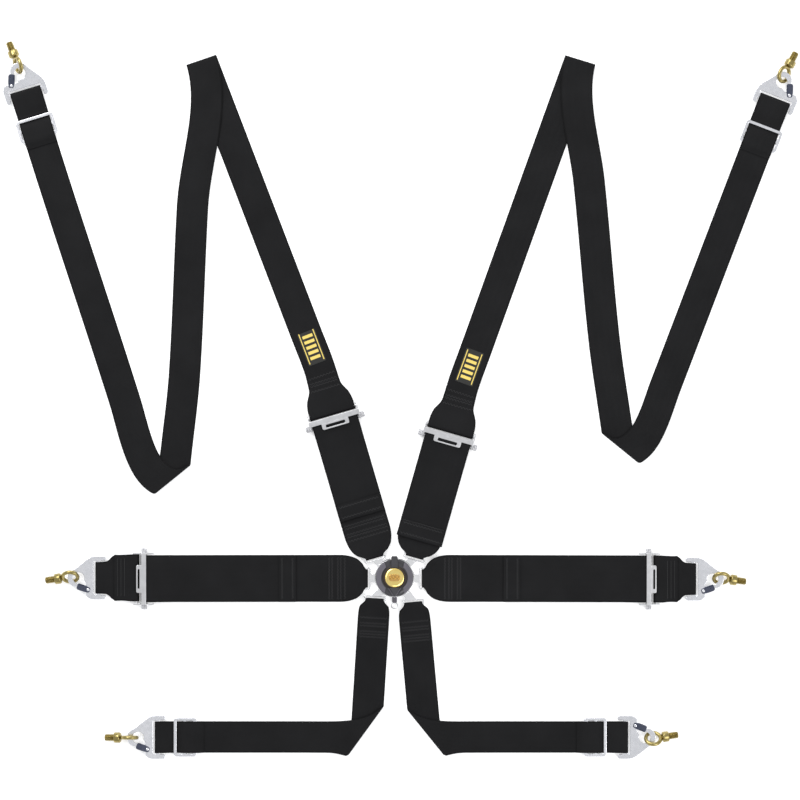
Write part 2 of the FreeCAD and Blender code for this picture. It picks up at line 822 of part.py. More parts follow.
def lower_shoulder(name):
    """Three-inch webbing from the tongue to the adjuster, and the tail that lies back over it."""
    frame = frame_at(HEADS[name], head_heading(name))
    length = (Vector(*ADJUSTERS[name], 0) - Vector(*HEADS[name], 0)).Length
    half = size("wide_web") / 2
    under = Webbing()
    tongue_loop(under, name, half)
    under.local(frame, 95.0, layer(1) + 0.1, half)
    under.local(frame, length - 16.5, layer(1) + 0.1, half)
    over = Webbing()
    tail_end = {"left_shoulder": 73.0, "right_shoulder": 30.0}[name]
    over.local(frame, length - 16.5, 7.3, half)
    over.local(frame, length - 44, layer(2) + 0.3, half)
    over.local(frame, 112.0, layer(2) + 0.3, half)
    over.local(frame, 76.0, layer(3) + 0.6, half)
    if tail_end < 60:
        over.local(frame, tail_end + 16, 5.9, half)
        over.local(frame, tail_end + 8, 6.6, half)
        over.loop(frame, tail_end, 8.25, 0.85, half, 270, 90, 6)
        over.local(frame, tail_end + 8, 8.3, half)
        over.local(frame, tail_end + 16, 7.6, half)
        over.local(frame, tail_end + size("hem_length"), 7.2, half)
    else:
        over.loop(frame, tail_end, layer(3) + 1.45, 0.85, half, 270, 90, 6)
        over.local(frame, 76.0, layer(3) + 2.3, half)
        over.local(frame, tail_end + size("hem_length"), layer(3) + 1.4, half)
    web_node(name + "_lower_webbing", under, over)


def lap_webbing(name):
    """Three-inch webbing from the tongue, round the adjuster's bar and back as a tail."""
    frame = frame_at(HEADS[name], head_heading(name))
    length = (Vector(*ADJUSTERS[name], 0) - Vector(*HEADS[name], 0)).Length
    half = size("wide_web") / 2
    web = Webbing()
    tongue_loop(web, name, half)
    web.local(frame, 95.0, layer(1) + 0.1, half)
    web.local(frame, length - 12, 1.0, half)
    web.loop(frame, length, size("adjuster_bar_height"), 5.2, half, 270, 450, 10)
    web.local(frame, length - 30, 5.6, half)
    web.local(frame, length - 48, layer(2) + 0.3, half)
    web.local(frame, 134.0, layer(2) + 0.3, half)
    tail_end = 118.0
    web.loop(frame, tail_end, layer(2) + 1.15, 0.85, half, 270, 90, 6)
    web.local(frame, tail_end + size("hem_length"), layer(2) + 2.0, half)
    web_node(name + "_webbing", web)


def hook_loop(web, frame, half_width, end, end_height):
    """Round a hook's bar from the ground up, and back along the strap as the upper layer."""
    height = size("hook_bar_height")
    web.local(frame, -16.0, layer(1), half_width)
    web.loop(frame, 0.0, height, size("loop_radius"), half_width, 270, 450, 10)
    web.local(frame, end * 0.45, height + size("loop_radius") - (height + 2.2) * 0.36, half_width)
    web.local(frame, end, end_height, half_width)


def lap_anchor(name):
    """The sewn sleeve between a lap adjuster and its hook, narrowing from three inches to two."""
    adjuster = ADJUSTERS[name]
    point, heading = HOOKS[name]
    frame = frame_at(point, heading)
    bar = -(Vector(*point, 0) - Vector(*adjuster, 0)).Length - size("lap_sleeve_bar")
    wide = size("wide_web") / 2
    narrow = size("narrow_web") / 2
    radius = size("sleeve_bar_radius") + 1.15
    height = size("sleeve_bar_height")
    web = Webbing()
    web.local(frame, bar * 0.42, 4.9, narrow + 12)
    web.local(frame, bar * 0.62, 5.9, wide - 1)
    web.local(frame, bar + 9, 9.0, wide)
    web.loop(frame, bar, height, radius, wide, 90, 270, 10)
    web.local(frame, bar * 0.62, layer(1), wide - 1)
    web.local(frame, bar * 0.42, layer(1), narrow + 11)
    web.local(frame, -13.0, layer(1), narrow + 1)
    web.loop(frame, 0.0, size("hook_bar_height"), size("loop_radius"), narrow, 270, 450, 10)
    web.local(frame, -13.0, 6.1, narrow + 1)
    web.local(frame, bar * 0.42, layer(2) + 0.5, narrow + 11)
    web.local(frame, bar * 0.60, layer(2) + 0.3, wide - 1.5)
    web_node(name + "_anchor_webbing", web)


# Upper shoulder webbing: the middle of each fold, the crease's direction, and the places that the
# strap passes between them with its heading there.
UPPER_ROUTES = {
    "left_shoulder": {
        "top": ((-312.0, 835.0), 19.0), "down": ((-327.0, 600.0), 266.6), "low": (-340.0, 330.0),
        "bottom": ((-358.0, 162.0), 39.0), "out": ((-436.0, 283.0), 107.5),
    },
    "right_shoulder": {
        "top": ((300.0, 835.0), -17.0), "down": ((315.0, 640.0), 276.2), "low": (340.0, 380.0),
        "bottom": ((364.0, 213.0), 141.0), "out": ((441.0, 315.0), 68.4),
    },
}


def upper_shoulder(name):
    """Two-inch webbing: adjuster sleeve, run up, fold, run down, fold, run out to the hook."""
    route = UPPER_ROUTES[name]
    half = size("narrow_web") / 2
    wide = size("wide_web") / 2
    frame = frame_at(ADJUSTERS[name], head_heading(name))
    bar = size("shoulder_sleeve_bar")
    web = Webbing()
    web.local(frame, bar + 66, layer(1), half)
    web.local(frame, bar + 44, layer(1), half + 1)
    web.local(frame, bar + 22, layer(1), wide - 2)
    web.loop(frame, bar, size("sleeve_bar_height"), size("sleeve_bar_radius") + 1.15, wide, 270, 90, 10)
    web.local(frame, bar + 9, 9.0, wide)
    web.local(frame, bar + 22, 6.3, wide - 2)
    web.local(frame, bar + 44, layer(2) + 0.8, half + 1)
    start = frame.multVec(Vector(bar + 74, 0, 0))
    top, top_crease = route["top"]
    rising = heading_of(Vector(*top, 0) - start)
    web.flat(start.x, start.y, layer(2) + 0.3, rising, half)
    near = start + polar(rising, 60)
    web.flat(near.x, near.y, layer(1), rising, half)
    over, falling = web.fold(top, layer(1), rising, top_crease, half)
    down, down_heading = route["down"]
    web.bend(over, falling, down, down_heading, half, layer(2))
    low = route["low"]
    web.flat(low[0], low[1], layer(1), down_heading, half)
    bottom, bottom_crease = route["bottom"]
    final = heading_of(Vector(*bottom, 0) - Vector(*low, 0))
    over, leaving = web.fold(bottom, layer(1), final, bottom_crease, half)
    out, out_heading = route["out"]
    web.bend(over, leaving, out, out_heading, half, layer(1))
    point, heading = HOOKS[name]
    end_frame = frame_at(point, heading)
    back, travel = SLIDES[name]
    web.local(end_frame, -back - 60, layer(1), half)
    hook_loop(web, end_frame, half, -back + travel + 4, layer(2) + 0.05)
    web_node(name + "_upper_webbing", web)


# The direction of each crotch strap's fold, and where the strap has turned to run to its hook.
CROTCH_ROUTES = {
    "left_crotch": (54.0, (-112.0, -259.0), 180.0),
    "right_crotch": (129.0, (117.0, -259.0), 0.0),
}


def crotch_webbing(name):
    """Two-inch webbing: down from the tongue, over a fold and out sideways to the hook."""
    crease, out, heading = CROTCH_ROUTES[name]
    half = size("narrow_web") / 2
    falling = head_heading(name)
    web = Webbing()
    tongue_loop(web, name, half)
    web.local(frame_at(HEADS[name], falling), 96.0, layer(1) + 0.1, half)
    over, leaving = web.fold(CROTCH_FOLDS[name], layer(1), falling, crease, half)
    web.bend(over, leaving, out, heading, half, layer(2))
    point, end_heading = HOOKS[name]
    end_frame = frame_at(point, end_heading)
    back, travel = SLIDES[name]
    rest = out[0] + math.copysign(60.0, point[0])
    web.flat(rest, out[1], layer(1), heading, half)
    web.local(end_frame, -back - 45, layer(1), half)
    hook_loop(web, end_frame, half, -back + travel + 4, layer(2) + 0.05)
    web_node(name + "_webbing", web)


# ---------------------------------------------------------------- tilt adjusters

def adjuster_frame(bar_x, ears):
    """Two cheeks, the bridge over the webbing, the finger tab and the bar for the sewn sleeve."""
    height = size("adjuster_bar_height")
    low = size("sleeve_bar_height")
    parts = []
    for side in (-1, 1):
        middle = side * (size("cheek_inner") + size("cheek_thickness") / 2)
        far = cylinder("sleeve_bar_radius + 1.7", "cheek_thickness", Placement())
        near = cylinder("adjuster_bar_radius + 1.9", "cheek_thickness", Placement())
        edge = middle + size("cheek_thickness") / 2
        far.Placement = Placement(Vector(bar_x, edge, low), Rotation(X_AXIS, 90))
        near.Placement = Placement(Vector(0, edge, height), Rotation(X_AXIS, 90))
        web = box(f"{abs(bar_x)}", "cheek_thickness", "2 * sleeve_bar_radius + 3.2",
                  at(x=min(bar_x, 0), y=middle, z=0.2))
        post = box("bridge_back", "cheek_thickness", "bridge_bottom + bridge_thickness - adjuster_bar_height",
                   at(x=-size("bridge_back"), y=middle, z=height))
        parts.extend((far, near, web, post))
        if ears:
            parts.append(box("lap_ear", "cheek_thickness", "lap_ear_height", at(y=middle, z=low)))
    span = "2 * cheek_inner + 2 * cheek_thickness"
    bridge = box("bridge_width", span, "bridge_thickness",
                 at(x=-size("bridge_back"), z=size("bridge_bottom")))
    tab = box("tab_reach - bridge_back + 0.5", "tab_width", "tab_thickness",
              at(x=-size("tab_reach"), z=size("bridge_bottom")))
    window = box("tab_window", "tab_width - 13", "2 * tab_thickness",
                 at(x=size("tab_rim") - size("tab_reach"), z=size("bridge_bottom") - 1))
    sleeve_bar = cross_bar("sleeve_bar_radius", span, bar_x, low)
    bore = cross_bar("adjuster_bar_radius + 0.1", "120", 0, height)
    return cut(fuse(*parts, bridge, tab, sleeve_bar), window, bore)


def adjuster_bar():
    """The round bar that grips the webbing, with a knob at each end."""
    bar = cross_bar("adjuster_bar_radius", "adjuster_bar_length", 0, size("adjuster_bar_height"))
    knobs = []
    for side in (-1, 1):
        end = cylinder("knob_end_radius", "adjuster_bar_length / 2 - cheek_inner - cheek_thickness - 0.4",
                       Placement())
        doc.recompute([end])
        edge = side * size("adjuster_bar_length") / 2
        shift = edge if side > 0 else edge + end.Height.Value
        end.Placement = Placement(Vector(0, shift, size("adjuster_bar_height")), Rotation(X_AXIS, 90))
        knobs.append(end)
    return fuse(bar, *knobs)


def bight(frame):
    """The bend of webbing that goes round a shoulder adjuster's bar and moves with it."""
    web = Webbing()
    half = size("wide_web") / 2
    web.local(frame, -14.0, 1.0, half)
    web.loop(frame, 0.0, size("adjuster_bar_height"), 5.2, half, 270, 450, 10)
    web.local(frame, -14.0, 7.9, half)
    solid = doc.addObject("Part::Feature", "Bight")
    solid.Shape = web.solid()
    return solid


def shoulder_adjuster(name):
    frame = frame_at(ADJUSTERS[name], head_heading(name))
    node(adjuster_frame(size("shoulder_sleeve_bar"), False), name + "_adjuster_frame", frame)
    bar = adjuster_bar()
    bar.Placement = frame
    node(compound(bar, bight(frame)), name + "_adjuster_bar")


def lap_adjuster(name):
    frame = frame_at(ADJUSTERS[name], head_heading(name) + 180)
    node(adjuster_frame(size("lap_sleeve_bar"), True), name + "_adjuster_frame", frame)
    node(adjuster_bar(), name + "_adjuster_bar", frame)


# ---------------------------------------------------------------- three-bar slides

def slide_frame(name):
    point, heading = HOOKS[name]
    return frame_at(point, heading).multiply(at(x=-SLIDES[name][0]))


def slide(name):
    """A stamped slide with three bars, and the webbing that rides over two of them."""
    frame = slide_frame(name)
    body = new_body(name + "_slide_plate")
    outline = new_sketch(body)
    rectangle(outline, "slide_bar / 2 - slide_length", "slide_bar / 2", "slide_width / 2")
    plate = pad(body, outline, "slide_thickness")
    corners = [f"Edge{index + 1}" for index, edge in enumerate(plate.Shape.Edges)
               if edge.BoundBox.ZLength > 1]
    rounding = body.newObject("PartDesign::Fillet", "Corners")
    rounding.Base = (plate, corners)
    bind(rounding, Radius="slide_bar")
    doc.recompute()
    slots = new_sketch(body)
    for first in ("slide_bar / 2", "slide_bar * 1.5 + slide_slot"):
        rectangle(slots, f"-({first}) - slide_slot", f"-({first})", "slide_slot_width / 2")
    pocket(body, slots)
    body.Placement = frame.multiply(at(z=size("slide_bottom")))
    top = size("slide_bottom") + size("slide_thickness") + 0.75
    web = Webbing()
    half = size("narrow_web") / 2
    for x, z in ((3.0, layer(2)), (-4.0, layer(2)), (-12.3, top), (-36.5, top),
                 (-39.5, top - 1.2), (-43.0, 3.4)):
        web.local(frame, x, z, half)
    hump = doc.addObject("Part::Feature", "Hump")
    hump.Shape = web.solid()
    node(compound(body, hump), name + "_slide")


# ---------------------------------------------------------------- hooks, gates and eye bolts

def ring_height(name):
    """Height of a ring's centre when its wire touches the ground at the lean that it has."""
    lean = math.radians(RING_LEAN[name])
    return size("ring_radius") * math.cos(lean) + size("ring_wire") + 0.1


def ring_offset(name):
    """How far the ring's centre stands off the middle of the hook's nose, in the ring's plane."""
    return 4.4 * (1 - abs(RING_LEAN[name]) / 90)


def nose_middle():
    return (size("nose_centre") + size("nose_radius") + size("eye_centre") + size("eye_radius")) / 2


def nose_height(name):
    return ring_height(name) - ring_offset(name) * math.cos(math.radians(RING_LEAN[name]))


def hook_frame(name):
    """A hook lies with its nose up on its ring; its own x runs from its bar to its nose."""
    point, heading = HOOKS[name]
    rise = (nose_height(name) - size("hook_bar_height")) / nose_middle()
    incline = math.degrees(math.asin(rise))
    turned = Rotation(X_AXIS, 180 if GATE_SIDE[name] > 0 else 0)
    lift = Placement(Vector(0, 0, size("hook_bar_height")), Rotation(Y_AXIS, -incline))
    return frame_at(point, heading).multiply(lift).multiply(Placement(Vector(), turned))


def hook(name):
    """A flat snap hook: webbing slot, sloping shoulders, round nose, and a mouth on one side."""
    thick = "hook_thickness"
    span = "2 * hook_half_width"
    low = -size("hook_thickness") / 2
    flat_bar = box("hook_bar", span, thick, at(x=-size("hook_bar") / 2, z=low))
    bar = common(flat_bar, cross_bar("hook_bar_round", span, 0, 0))
    ears = box("hook_shoulder", span, thick, at(z=low))
    wedge = doc.addObject("Part::Wedge", "Shoulders")
    bind(wedge, Xmin="-hook_half_width", Xmax="hook_half_width", Ymin="0",
         Ymax="nose_centre + 4 - hook_shoulder", Zmin="0", Zmax=thick,
         X2min="-nose_radius * 0.965", X2max="nose_radius * 0.965", Z2min="0", Z2max=thick)
    wedge.Placement = at(x=size("hook_shoulder"), z=low, angle=-90)
    nose = cylinder("nose_radius", thick, at(x=size("nose_centre"), z=low))
    slot = box("hook_bar / 2 + hook_slot", "hook_slot_width", thick, at(z=low))
    eye = cylinder("eye_radius", thick, at(x=size("eye_centre"), z=low))
    mouth = box("mouth_end - mouth_start", "30", thick, at(x=size("mouth_start"), y=-20, z=low))
    rivet_hole = cylinder("gate_rivet + gate_rivet_gap", thick,
                          at(x=size("gate_pivot_x"), y=-size("gate_pivot_y"), z=low))
    plate = cut(fuse(ears, wedge, nose), slot, eye, mouth, rivet_hole)
    node(fuse(plate, bar), name + "_hook", hook_frame(name))


def gate_frame(name):
    pivot = at(x=size("gate_pivot_x"), y=-size("gate_pivot_y"), angle=size("gate_angle"))
    return hook_frame(name).multiply(pivot)


def gate(name):
    """The sprung gate: a channel of sheet that straddles the hook, on its rivet."""
    inner = size("hook_thickness") / 2 + size("gate_gap")
    outer = inner + size("gate_wall")
    parts = []
    for low in (inner, -outer):
        parts.append(box("gate_length + gate_overlap", "gate_width", "gate_wall",
                         at(x=-size("gate_overlap"), y=-0.5, z=low)))
    parts.append(box("7", "1.5 * gate_wall", "hook_thickness + 2 * gate_gap + 2 * gate_wall",
                     at(x=size("gate_back"), y=3.25, z=-outer)))
    parts.append(cylinder("gate_rivet", "hook_thickness + 4 * gate_gap + 2 * gate_wall",
                          at(z=-outer - size("gate_gap"))))
    node(fuse(*parts), name + "_gate", gate_frame(name))


def eye_frame(name):
    """Origin at the ring's centre, x along the stem, y along the ring's own axis."""
    point, heading = HOOKS[name]
    lean = RING_LEAN[name]
    reach = math.sqrt(nose_middle() ** 2 - (nose_height(name) - size("hook_bar_height")) ** 2)
    offset = ring_offset(name)
    centre = Vector(reach, -offset * math.sin(math.radians(lean)), ring_height(name))
    tip = (centre.z - size("stem_radius")) / size("stem_end")
    collar = (centre.z - size("collar_radius")) / size("stem_start")
    droop = math.degrees(math.asin((min(tip, collar) - 0.004) / math.cos(math.radians(lean))))
    turn = Rotation(X_AXIS, lean).multiply(Rotation(Y_AXIS, droop))
    return frame_at(point, heading).multiply(Placement(centre, turn))


def eye_bolt(name):
    """A forged eye bolt: a ring with a drilled bore, a collar and a threaded stem."""
    ring = doc.addObject("Part::Torus", "Ring")
    bind(ring, Radius1="ring_radius", Radius2="ring_wire")
    ring.Placement = Placement(Vector(), Rotation(X_AXIS, 90))
    along = Rotation(Y_AXIS, 90)
    start = size("collar_start")
    collar = cylinder("collar_radius", "stem_start - collar_start - neck_length",
                      Placement(Vector(start + size("neck_length"), 0, 0), along))
    neck = doc.addObject("Part::Cone", "Neck")
    bind(neck, Radius1="ring_wire + 1.2", Radius2="collar_radius", Height="neck_length + 0.2")
    neck.Placement = Placement(Vector(start - 0.1, 0, 0), along)
    stem = cylinder("stem_radius", "stem_end - stem_start + 1",
                    Placement(Vector(size("stem_start") - 1, 0, 0), along))
    bore = cross_bar("ring_bore", "3 * ring_wire", 0, 0)
    node(cut(fuse(ring, collar, neck, stem), bore), name + "_eye_bolt", eye_frame(name))


# ---------------------------------------------------------------- the whole harness

def build():
    back_plate()
    tongue_guide()
    cover()
    rivets()
    spindle()
    lift_cam()
    lifter_plate()
    lifter_spring()
    latch_bolts()
    springs()
    knob()
    cap()
    release_eye()
    for name in STRAPS:
        tongue(name)
        hook(name)
        gate(name)
        eye_bolt(name)
    for name in ("left_shoulder", "right_shoulder"):
        lower_shoulder(name)
        upper_shoulder(name)
        shoulder_adjuster(name)
    for name in ("left_lap", "right_lap"):
        lap_webbing(name)
        lap_anchor(name)
        lap_adjuster(name)
    for name in ("left_crotch", "right_crotch"):
        crotch_webbing(name)
    for name in SLIDES:
        slide(name)
    doc.recompute()


def check():
    """Stops before anything is written if a feature failed or a sub-part is not a valid solid."""
    for item in doc.Objects:
        if "Invalid" in item.State or "Error" in item.State:
            raise RuntimeError(item.Label + " failed: " + str(item.State))
    for item in NODES:
        shape = item.Shape
        if shape.isNull() or not shape.isValid() or not shape.Solids:
            raise RuntimeError(item.Label + " is not a valid solid")


def write():
    os.makedirs("parts", exist_ok=True)
    for item in NODES:
        item.Shape.exportStep(f"parts/{item.Label}.step")
    print(len(NODES), "nodes")


build()
check()
write()
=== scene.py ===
import bpy
import json
import math
from mathutils import Matrix, Vector


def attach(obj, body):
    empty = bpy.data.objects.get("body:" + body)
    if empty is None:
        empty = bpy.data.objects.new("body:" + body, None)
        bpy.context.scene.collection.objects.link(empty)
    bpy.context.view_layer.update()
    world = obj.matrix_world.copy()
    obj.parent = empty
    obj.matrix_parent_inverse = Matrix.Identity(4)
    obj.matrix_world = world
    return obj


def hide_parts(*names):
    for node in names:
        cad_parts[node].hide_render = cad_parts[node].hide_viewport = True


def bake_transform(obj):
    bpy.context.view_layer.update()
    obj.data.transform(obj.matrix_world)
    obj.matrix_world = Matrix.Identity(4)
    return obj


# A six-point racing harness laid flat. Lengths below are millimetres in the frame of the CAD model,
# and every mesh is turned into metres as it is made. A strap's local frame at a fitting has x running
# outward along the strap, y to its left and z up.

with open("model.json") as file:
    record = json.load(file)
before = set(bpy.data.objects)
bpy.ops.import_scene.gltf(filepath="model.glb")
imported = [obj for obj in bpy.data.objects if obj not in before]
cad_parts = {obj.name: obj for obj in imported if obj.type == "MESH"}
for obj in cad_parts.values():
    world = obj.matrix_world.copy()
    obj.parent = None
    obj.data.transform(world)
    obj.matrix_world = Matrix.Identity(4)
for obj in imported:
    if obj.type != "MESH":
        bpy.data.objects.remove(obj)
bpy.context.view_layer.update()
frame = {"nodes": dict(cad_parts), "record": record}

MM = 0.001
UP = Vector((0, 0, 1))
JOINTS = {joint["name"]: joint for joint in frame["record"]["behaviour"]["joints"]}
MOUNTS = {mount["name"]: mount for mount in frame["record"]["mounts"]}

WEB = 1.4             # thickness of the webbing
WIDE = 38.0           # half width of three-inch webbing
NARROW = 25.5         # half width of two-inch webbing
GATHERED = 14.8       # half width where webbing is gathered in a tongue's slot
FOLD_RADIUS = 2.0     # of the webbing's middle where it folds over
HEM = 26.0            # length of the sewn end of a tail

# Where each tongue's slot lies, from the middle of the buckle.
HEADS = {
    "left_shoulder": (-31.5, 30.5),
    "right_shoulder": (32.0, 31.5),
    "left_lap": (-43.0, -2.0),
    "right_lap": (44.0, -2.0),
    "left_crotch": (-32.0, -34.0),
    "right_crotch": (30.0, -40.0),
}
# Where the crotch straps fold, then the crease's angle and where and in what direction they go on.
CROTCH_FOLDS = {"left_crotch": (-45.0, -243.0), "right_crotch": (49.0, -246.0)}
CROTCH_ROUTES = {
    "left_crotch": (54.0, (-112.0, -259.0), 180.0),
    "right_crotch": (129.0, (117.0, -259.0), 0.0),
}
# A shoulder strap's two folds, with the angles of their creases, and points with headings between.
UPPER_ROUTES = {
    "left_shoulder": {
        "top": ((-312.0, 835.0), 19.0), "down": ((-327.0, 600.0), 266.6), "low": (-340.0, 330.0),
        "bottom": ((-358.0, 162.0), 39.0), "out": ((-436.0, 283.0), 107.5),
    },
    "right_shoulder": {
        "top": ((300.0, 835.0), -17.0), "down": ((315.0, 640.0), 276.2), "low": (340.0, 380.0),
        "bottom": ((364.0, 213.0), 141.0), "out": ((441.0, 315.0), 68.4),
    },
}
# How far each slide's front bar lies behind the hook's bar, and where each tail's loop ends.
SLIDES = {"left_shoulder": 43.5, "right_shoulder": 45.0, "left_crotch": 28.0, "right_crotch": 32.0}
TAILS = {"left_shoulder": 73.0, "right_shoulder": 30.0, "left_lap": 118.0, "right_lap": 134.0}
SHOULDERS = ("left_shoulder", "right_shoulder")
LAPS = ("left_lap", "right_lap")
CROTCHES = ("left_crotch", "right_crotch")
# A bar's height, and the radius at which the webbing's middle goes round it.
HOOK_BAR = (5.2, 4.4)
SLEEVE_BAR = (5.4, 4.55)
ROLLER = (6.2, 5.2)
SHOULDER_SLEEVE = 17.0    # how far outward of the roller a shoulder adjuster's sleeve bar lies
LAP_SLEEVE = -13.0        # the same on a lap adjuster, whose frame is turned round
BOLT_CIRCLE = 22.0    # radius on which the latch bolts stand
BLADE_HALF = 7.0      # half width of a tongue's blade


# ---------------------------------------------------------------- materials

def new_material(name):
    material = bpy.data.materials.new(name)
    material.use_nodes = True
    tree = material.node_tree
    shader = tree.nodes["Principled BSDF"]
    return material, tree, shader


def link(tree, start, end):
    tree.links.new(start, end)


def put(node, values):
    for name, value in values.items():
        node.inputs[name].default_value = value


def math_node(tree, operation, first, second=None):
    step = tree.nodes.new("ShaderNodeMath")
    step.operation = operation
    for socket, value in zip(step.inputs, (first, second)):
        if value is None:
            continue
        if isinstance(value, (int, float)):
            socket.default_value = value
        else:
            link(tree, value, socket)
    return step.outputs[0]


def noise_node(tree, vector, scale, detail=3.0, roughness=0.5):
    noise = tree.nodes.new("ShaderNodeTexNoise")
    put(noise, {"Scale": scale, "Detail": detail, "Roughness": roughness})
    link(tree, vector, noise.inputs["Vector"])
    return noise.outputs["Fac"]


def blend_colours(tree, factor, dark, light):
    mix = tree.nodes.new("ShaderNodeMix")
    mix.data_type = "RGBA"
    put(mix, {"A": (*dark, 1), "B": (*light, 1)})
    link(tree, factor, mix.inputs["Factor"])
    return mix.outputs["Result"]


def spread(tree, value, low_in, high_in, low_out, high_out):
    span = tree.nodes.new("ShaderNodeMapRange")
    limits = {"From Min": low_in, "From Max": high_in, "To Min": low_out, "To Max": high_out}
    for name, number in limits.items():
        span.inputs[name].default_value = number
    link(tree, value, span.inputs["Value"])
    return span.outputs["Result"]


def bump(tree, shader, height, strength, distance, under=None):
    node = tree.nodes.new("ShaderNodeBump")
    put(node, {"Strength": strength, "Distance": distance})
    link(tree, height, node.inputs["Height"])
    if under is not None:
        link(tree, under, node.inputs["Normal"])
    link(tree, node.outputs["Normal"], shader.inputs["Normal"])


def object_space(tree):
    return tree.nodes.new("ShaderNodeTexCoord").outputs["Object"]


def metal(name, dark, light, roughness, grain=0.06):
    """Plated metal with cloudy tone, fine grain and a few rubbed patches."""
    material, tree, shader = new_material(name)
    place = object_space(tree)
    cloud = noise_node(tree, place, 90, 4)
    fine = noise_node(tree, place, 1400, 2)
    link(tree, blend_colours(tree, cloud, dark, light), shader.inputs["Base Color"])
    shader.inputs["Metallic"].default_value = 1.0
    rubbed = noise_node(tree, place, 260, 5, 0.65)
    wear = spread(tree, rubbed, 0.35, 0.65, roughness - grain, roughness + grain)
    link(tree, wear, shader.inputs["Roughness"])
    bump(tree, shader, fine, 0.12, 0.0001)
    return material


def knurled_metal(name, dark, light, pitch):
    """Bright metal with crossed knurling laid out in the mesh's own millimetre coordinates, its colour
    darker in the knurl's low points as painted shade and lighter on its high points as painted highlight.
    """
    material, tree, shader = new_material(name)
    place = tree.nodes.new("ShaderNodeUVMap")
    place.uv_map = "surface"
    split = tree.nodes.new("ShaderNodeSeparateXYZ")
    link(tree, place.outputs["UV"], split.inputs["Vector"])
    turns = 2 * math.pi / pitch
    right = math_node(tree, "SINE", math_node(
        tree, "MULTIPLY", math_node(tree, "ADD", split.outputs["X"], split.outputs["Y"]), turns))
    left = math_node(tree, "SINE", math_node(
        tree, "MULTIPLY", math_node(tree, "SUBTRACT", split.outputs["X"], split.outputs["Y"]), turns))
    ridges = math_node(tree, "MULTIPLY", right, left)
    # Colour follows the knurl's relief: painted shade in the low points, painted highlight on the high
    # points.
    tone = spread(tree, ridges, -1, 1, 0, 1)
    link(tree, blend_colours(tree, tone, dark, light), shader.inputs["Base Color"])
    put(shader, {"Metallic": 1.0, "Roughness": 0.3})
    bump(tree, shader, ridges, 0.7, 0.0003)
    return material


def coated(name, dark, light, roughness, metallic=0.0, coat=0.0):
    """Painted or moulded surface with a fine orange-peel grain and uneven sheen."""
    material, tree, shader = new_material(name)
    place = object_space(tree)
    cloud = noise_node(tree, place, 60, 4)
    fine = noise_node(tree, place, 700, 3)
    link(tree, blend_colours(tree, cloud, dark, light), shader.inputs["Base Color"])
    shader.inputs["Metallic"].default_value = metallic
    sheen = spread(tree, cloud, 0.3, 0.7, roughness - 0.06, roughness + 0.08)
    link(tree, sheen, shader.inputs["Roughness"])
    put(shader, {"Coat Weight": coat, "Coat Roughness": 0.25})
    bump(tree, shader, fine, 0.18, 0.00015)
    return material


def web_material(name, dark, light, twill):
    """Woven polyester: panels of slanted twill between straight warp ribs, with a plain selvage."""
    material, tree, shader = new_material(name)
    lengths = tree.nodes.new("ShaderNodeUVMap")
    lengths.uv_map = "surface"
    split = tree.nodes.new("ShaderNodeSeparateXYZ")
    link(tree, lengths.outputs["UV"], split.inputs["Vector"])
    across, along = split.outputs["X"], split.outputs["Y"]
    edges = tree.nodes.new("ShaderNodeUVMap")
    edges.uv_map = "edge"
    edge_split = tree.nodes.new("ShaderNodeSeparateXYZ")
    link(tree, edges.outputs["UV"], edge_split.inputs["Vector"])
    panel = math_node(tree, "PINGPONG", across, 5.2)
    slant = math_node(tree, "ADD", math_node(tree, "MULTIPLY", panel, twill), along)
    thread = math_node(tree, "SINE", math_node(tree, "MULTIPLY", slant, 2 * math.pi / 1.5))
    rib = math_node(tree, "SINE", math_node(tree, "MULTIPLY", across, 2 * math.pi / 1.04))
    thread = math_node(tree, "MULTIPLY", thread, 0.6)
    weave = math_node(tree, "ADD", thread, math_node(tree, "MULTIPLY", rib, 0.4))
    selvage = spread(tree, edge_split.outputs["X"], 1.6, 2.6, 0.0, 1.0)
    weave = math_node(tree, "MULTIPLY", weave, selvage)
    place = object_space(tree)
    cloud = noise_node(tree, place, 16, 3)
    fuzz = noise_node(tree, place, 2600, 2)
    tone = math_node(tree, "ADD", spread(tree, weave, -1, 1, 0.0, 0.55),
                     spread(tree, cloud, 0.3, 0.7, 0.0, 0.3))
    tone = math_node(tree, "ADD", tone, math_node(tree, "MULTIPLY", fuzz, 0.15))
    tone = math_node(tree, "MULTIPLY", tone, spread(tree, selvage, 0, 1, 0.15, 1.0))
    link(tree, blend_colours(tree, tone, dark, light), shader.inputs["Base Color"])
    link(tree, spread(tree, weave, -1, 1, 0.78, 0.62), shader.inputs["Roughness"])
    put(shader, {"Sheen Weight": 0.03, "Sheen Roughness": 0.5, "Specular IOR Level": 0.12})
    waves = noise_node(tree, place, 22, 2)
    slow = tree.nodes.new("ShaderNodeBump")
    put(slow, {"Strength": 0.35, "Distance": 0.004})
    link(tree, waves, slow.inputs["Height"])
    bump(tree, shader, weave, 0.5, 0.00025, slow.outputs["Normal"])
    return material


def label_material():
    """Woven patch: black ground, satin thread lines."""
    material, tree, shader = new_material("label_ground")
    place = object_space(tree)
    wave = tree.nodes.new("ShaderNodeTexWave")
    wave.inputs["Scale"].default_value = 1600
    link(tree, place, wave.inputs["Vector"])
    link(tree, blend_colours(tree, wave.outputs["Fac"], (0.004, 0.004, 0.003), (0.011, 0.011, 0.008)),
         shader.inputs["Base Color"])
    shader.inputs["Roughness"].default_value = 0.6
    bump(tree, shader, wave.outputs["Fac"], 0.4, 0.0002)
    return material


def thread_material(name, dark, light):
    material, tree, shader = new_material(name)
    place = object_space(tree)
    strands = noise_node(tree, place, 3000, 2)
    link(tree, blend_colours(tree, strands, dark, light), shader.inputs["Base Color"])
    put(shader, {"Roughness": 0.5, "Sheen Weight": 0.1})
    bump(tree, shader, strands, 0.4, 0.0001)
    return material


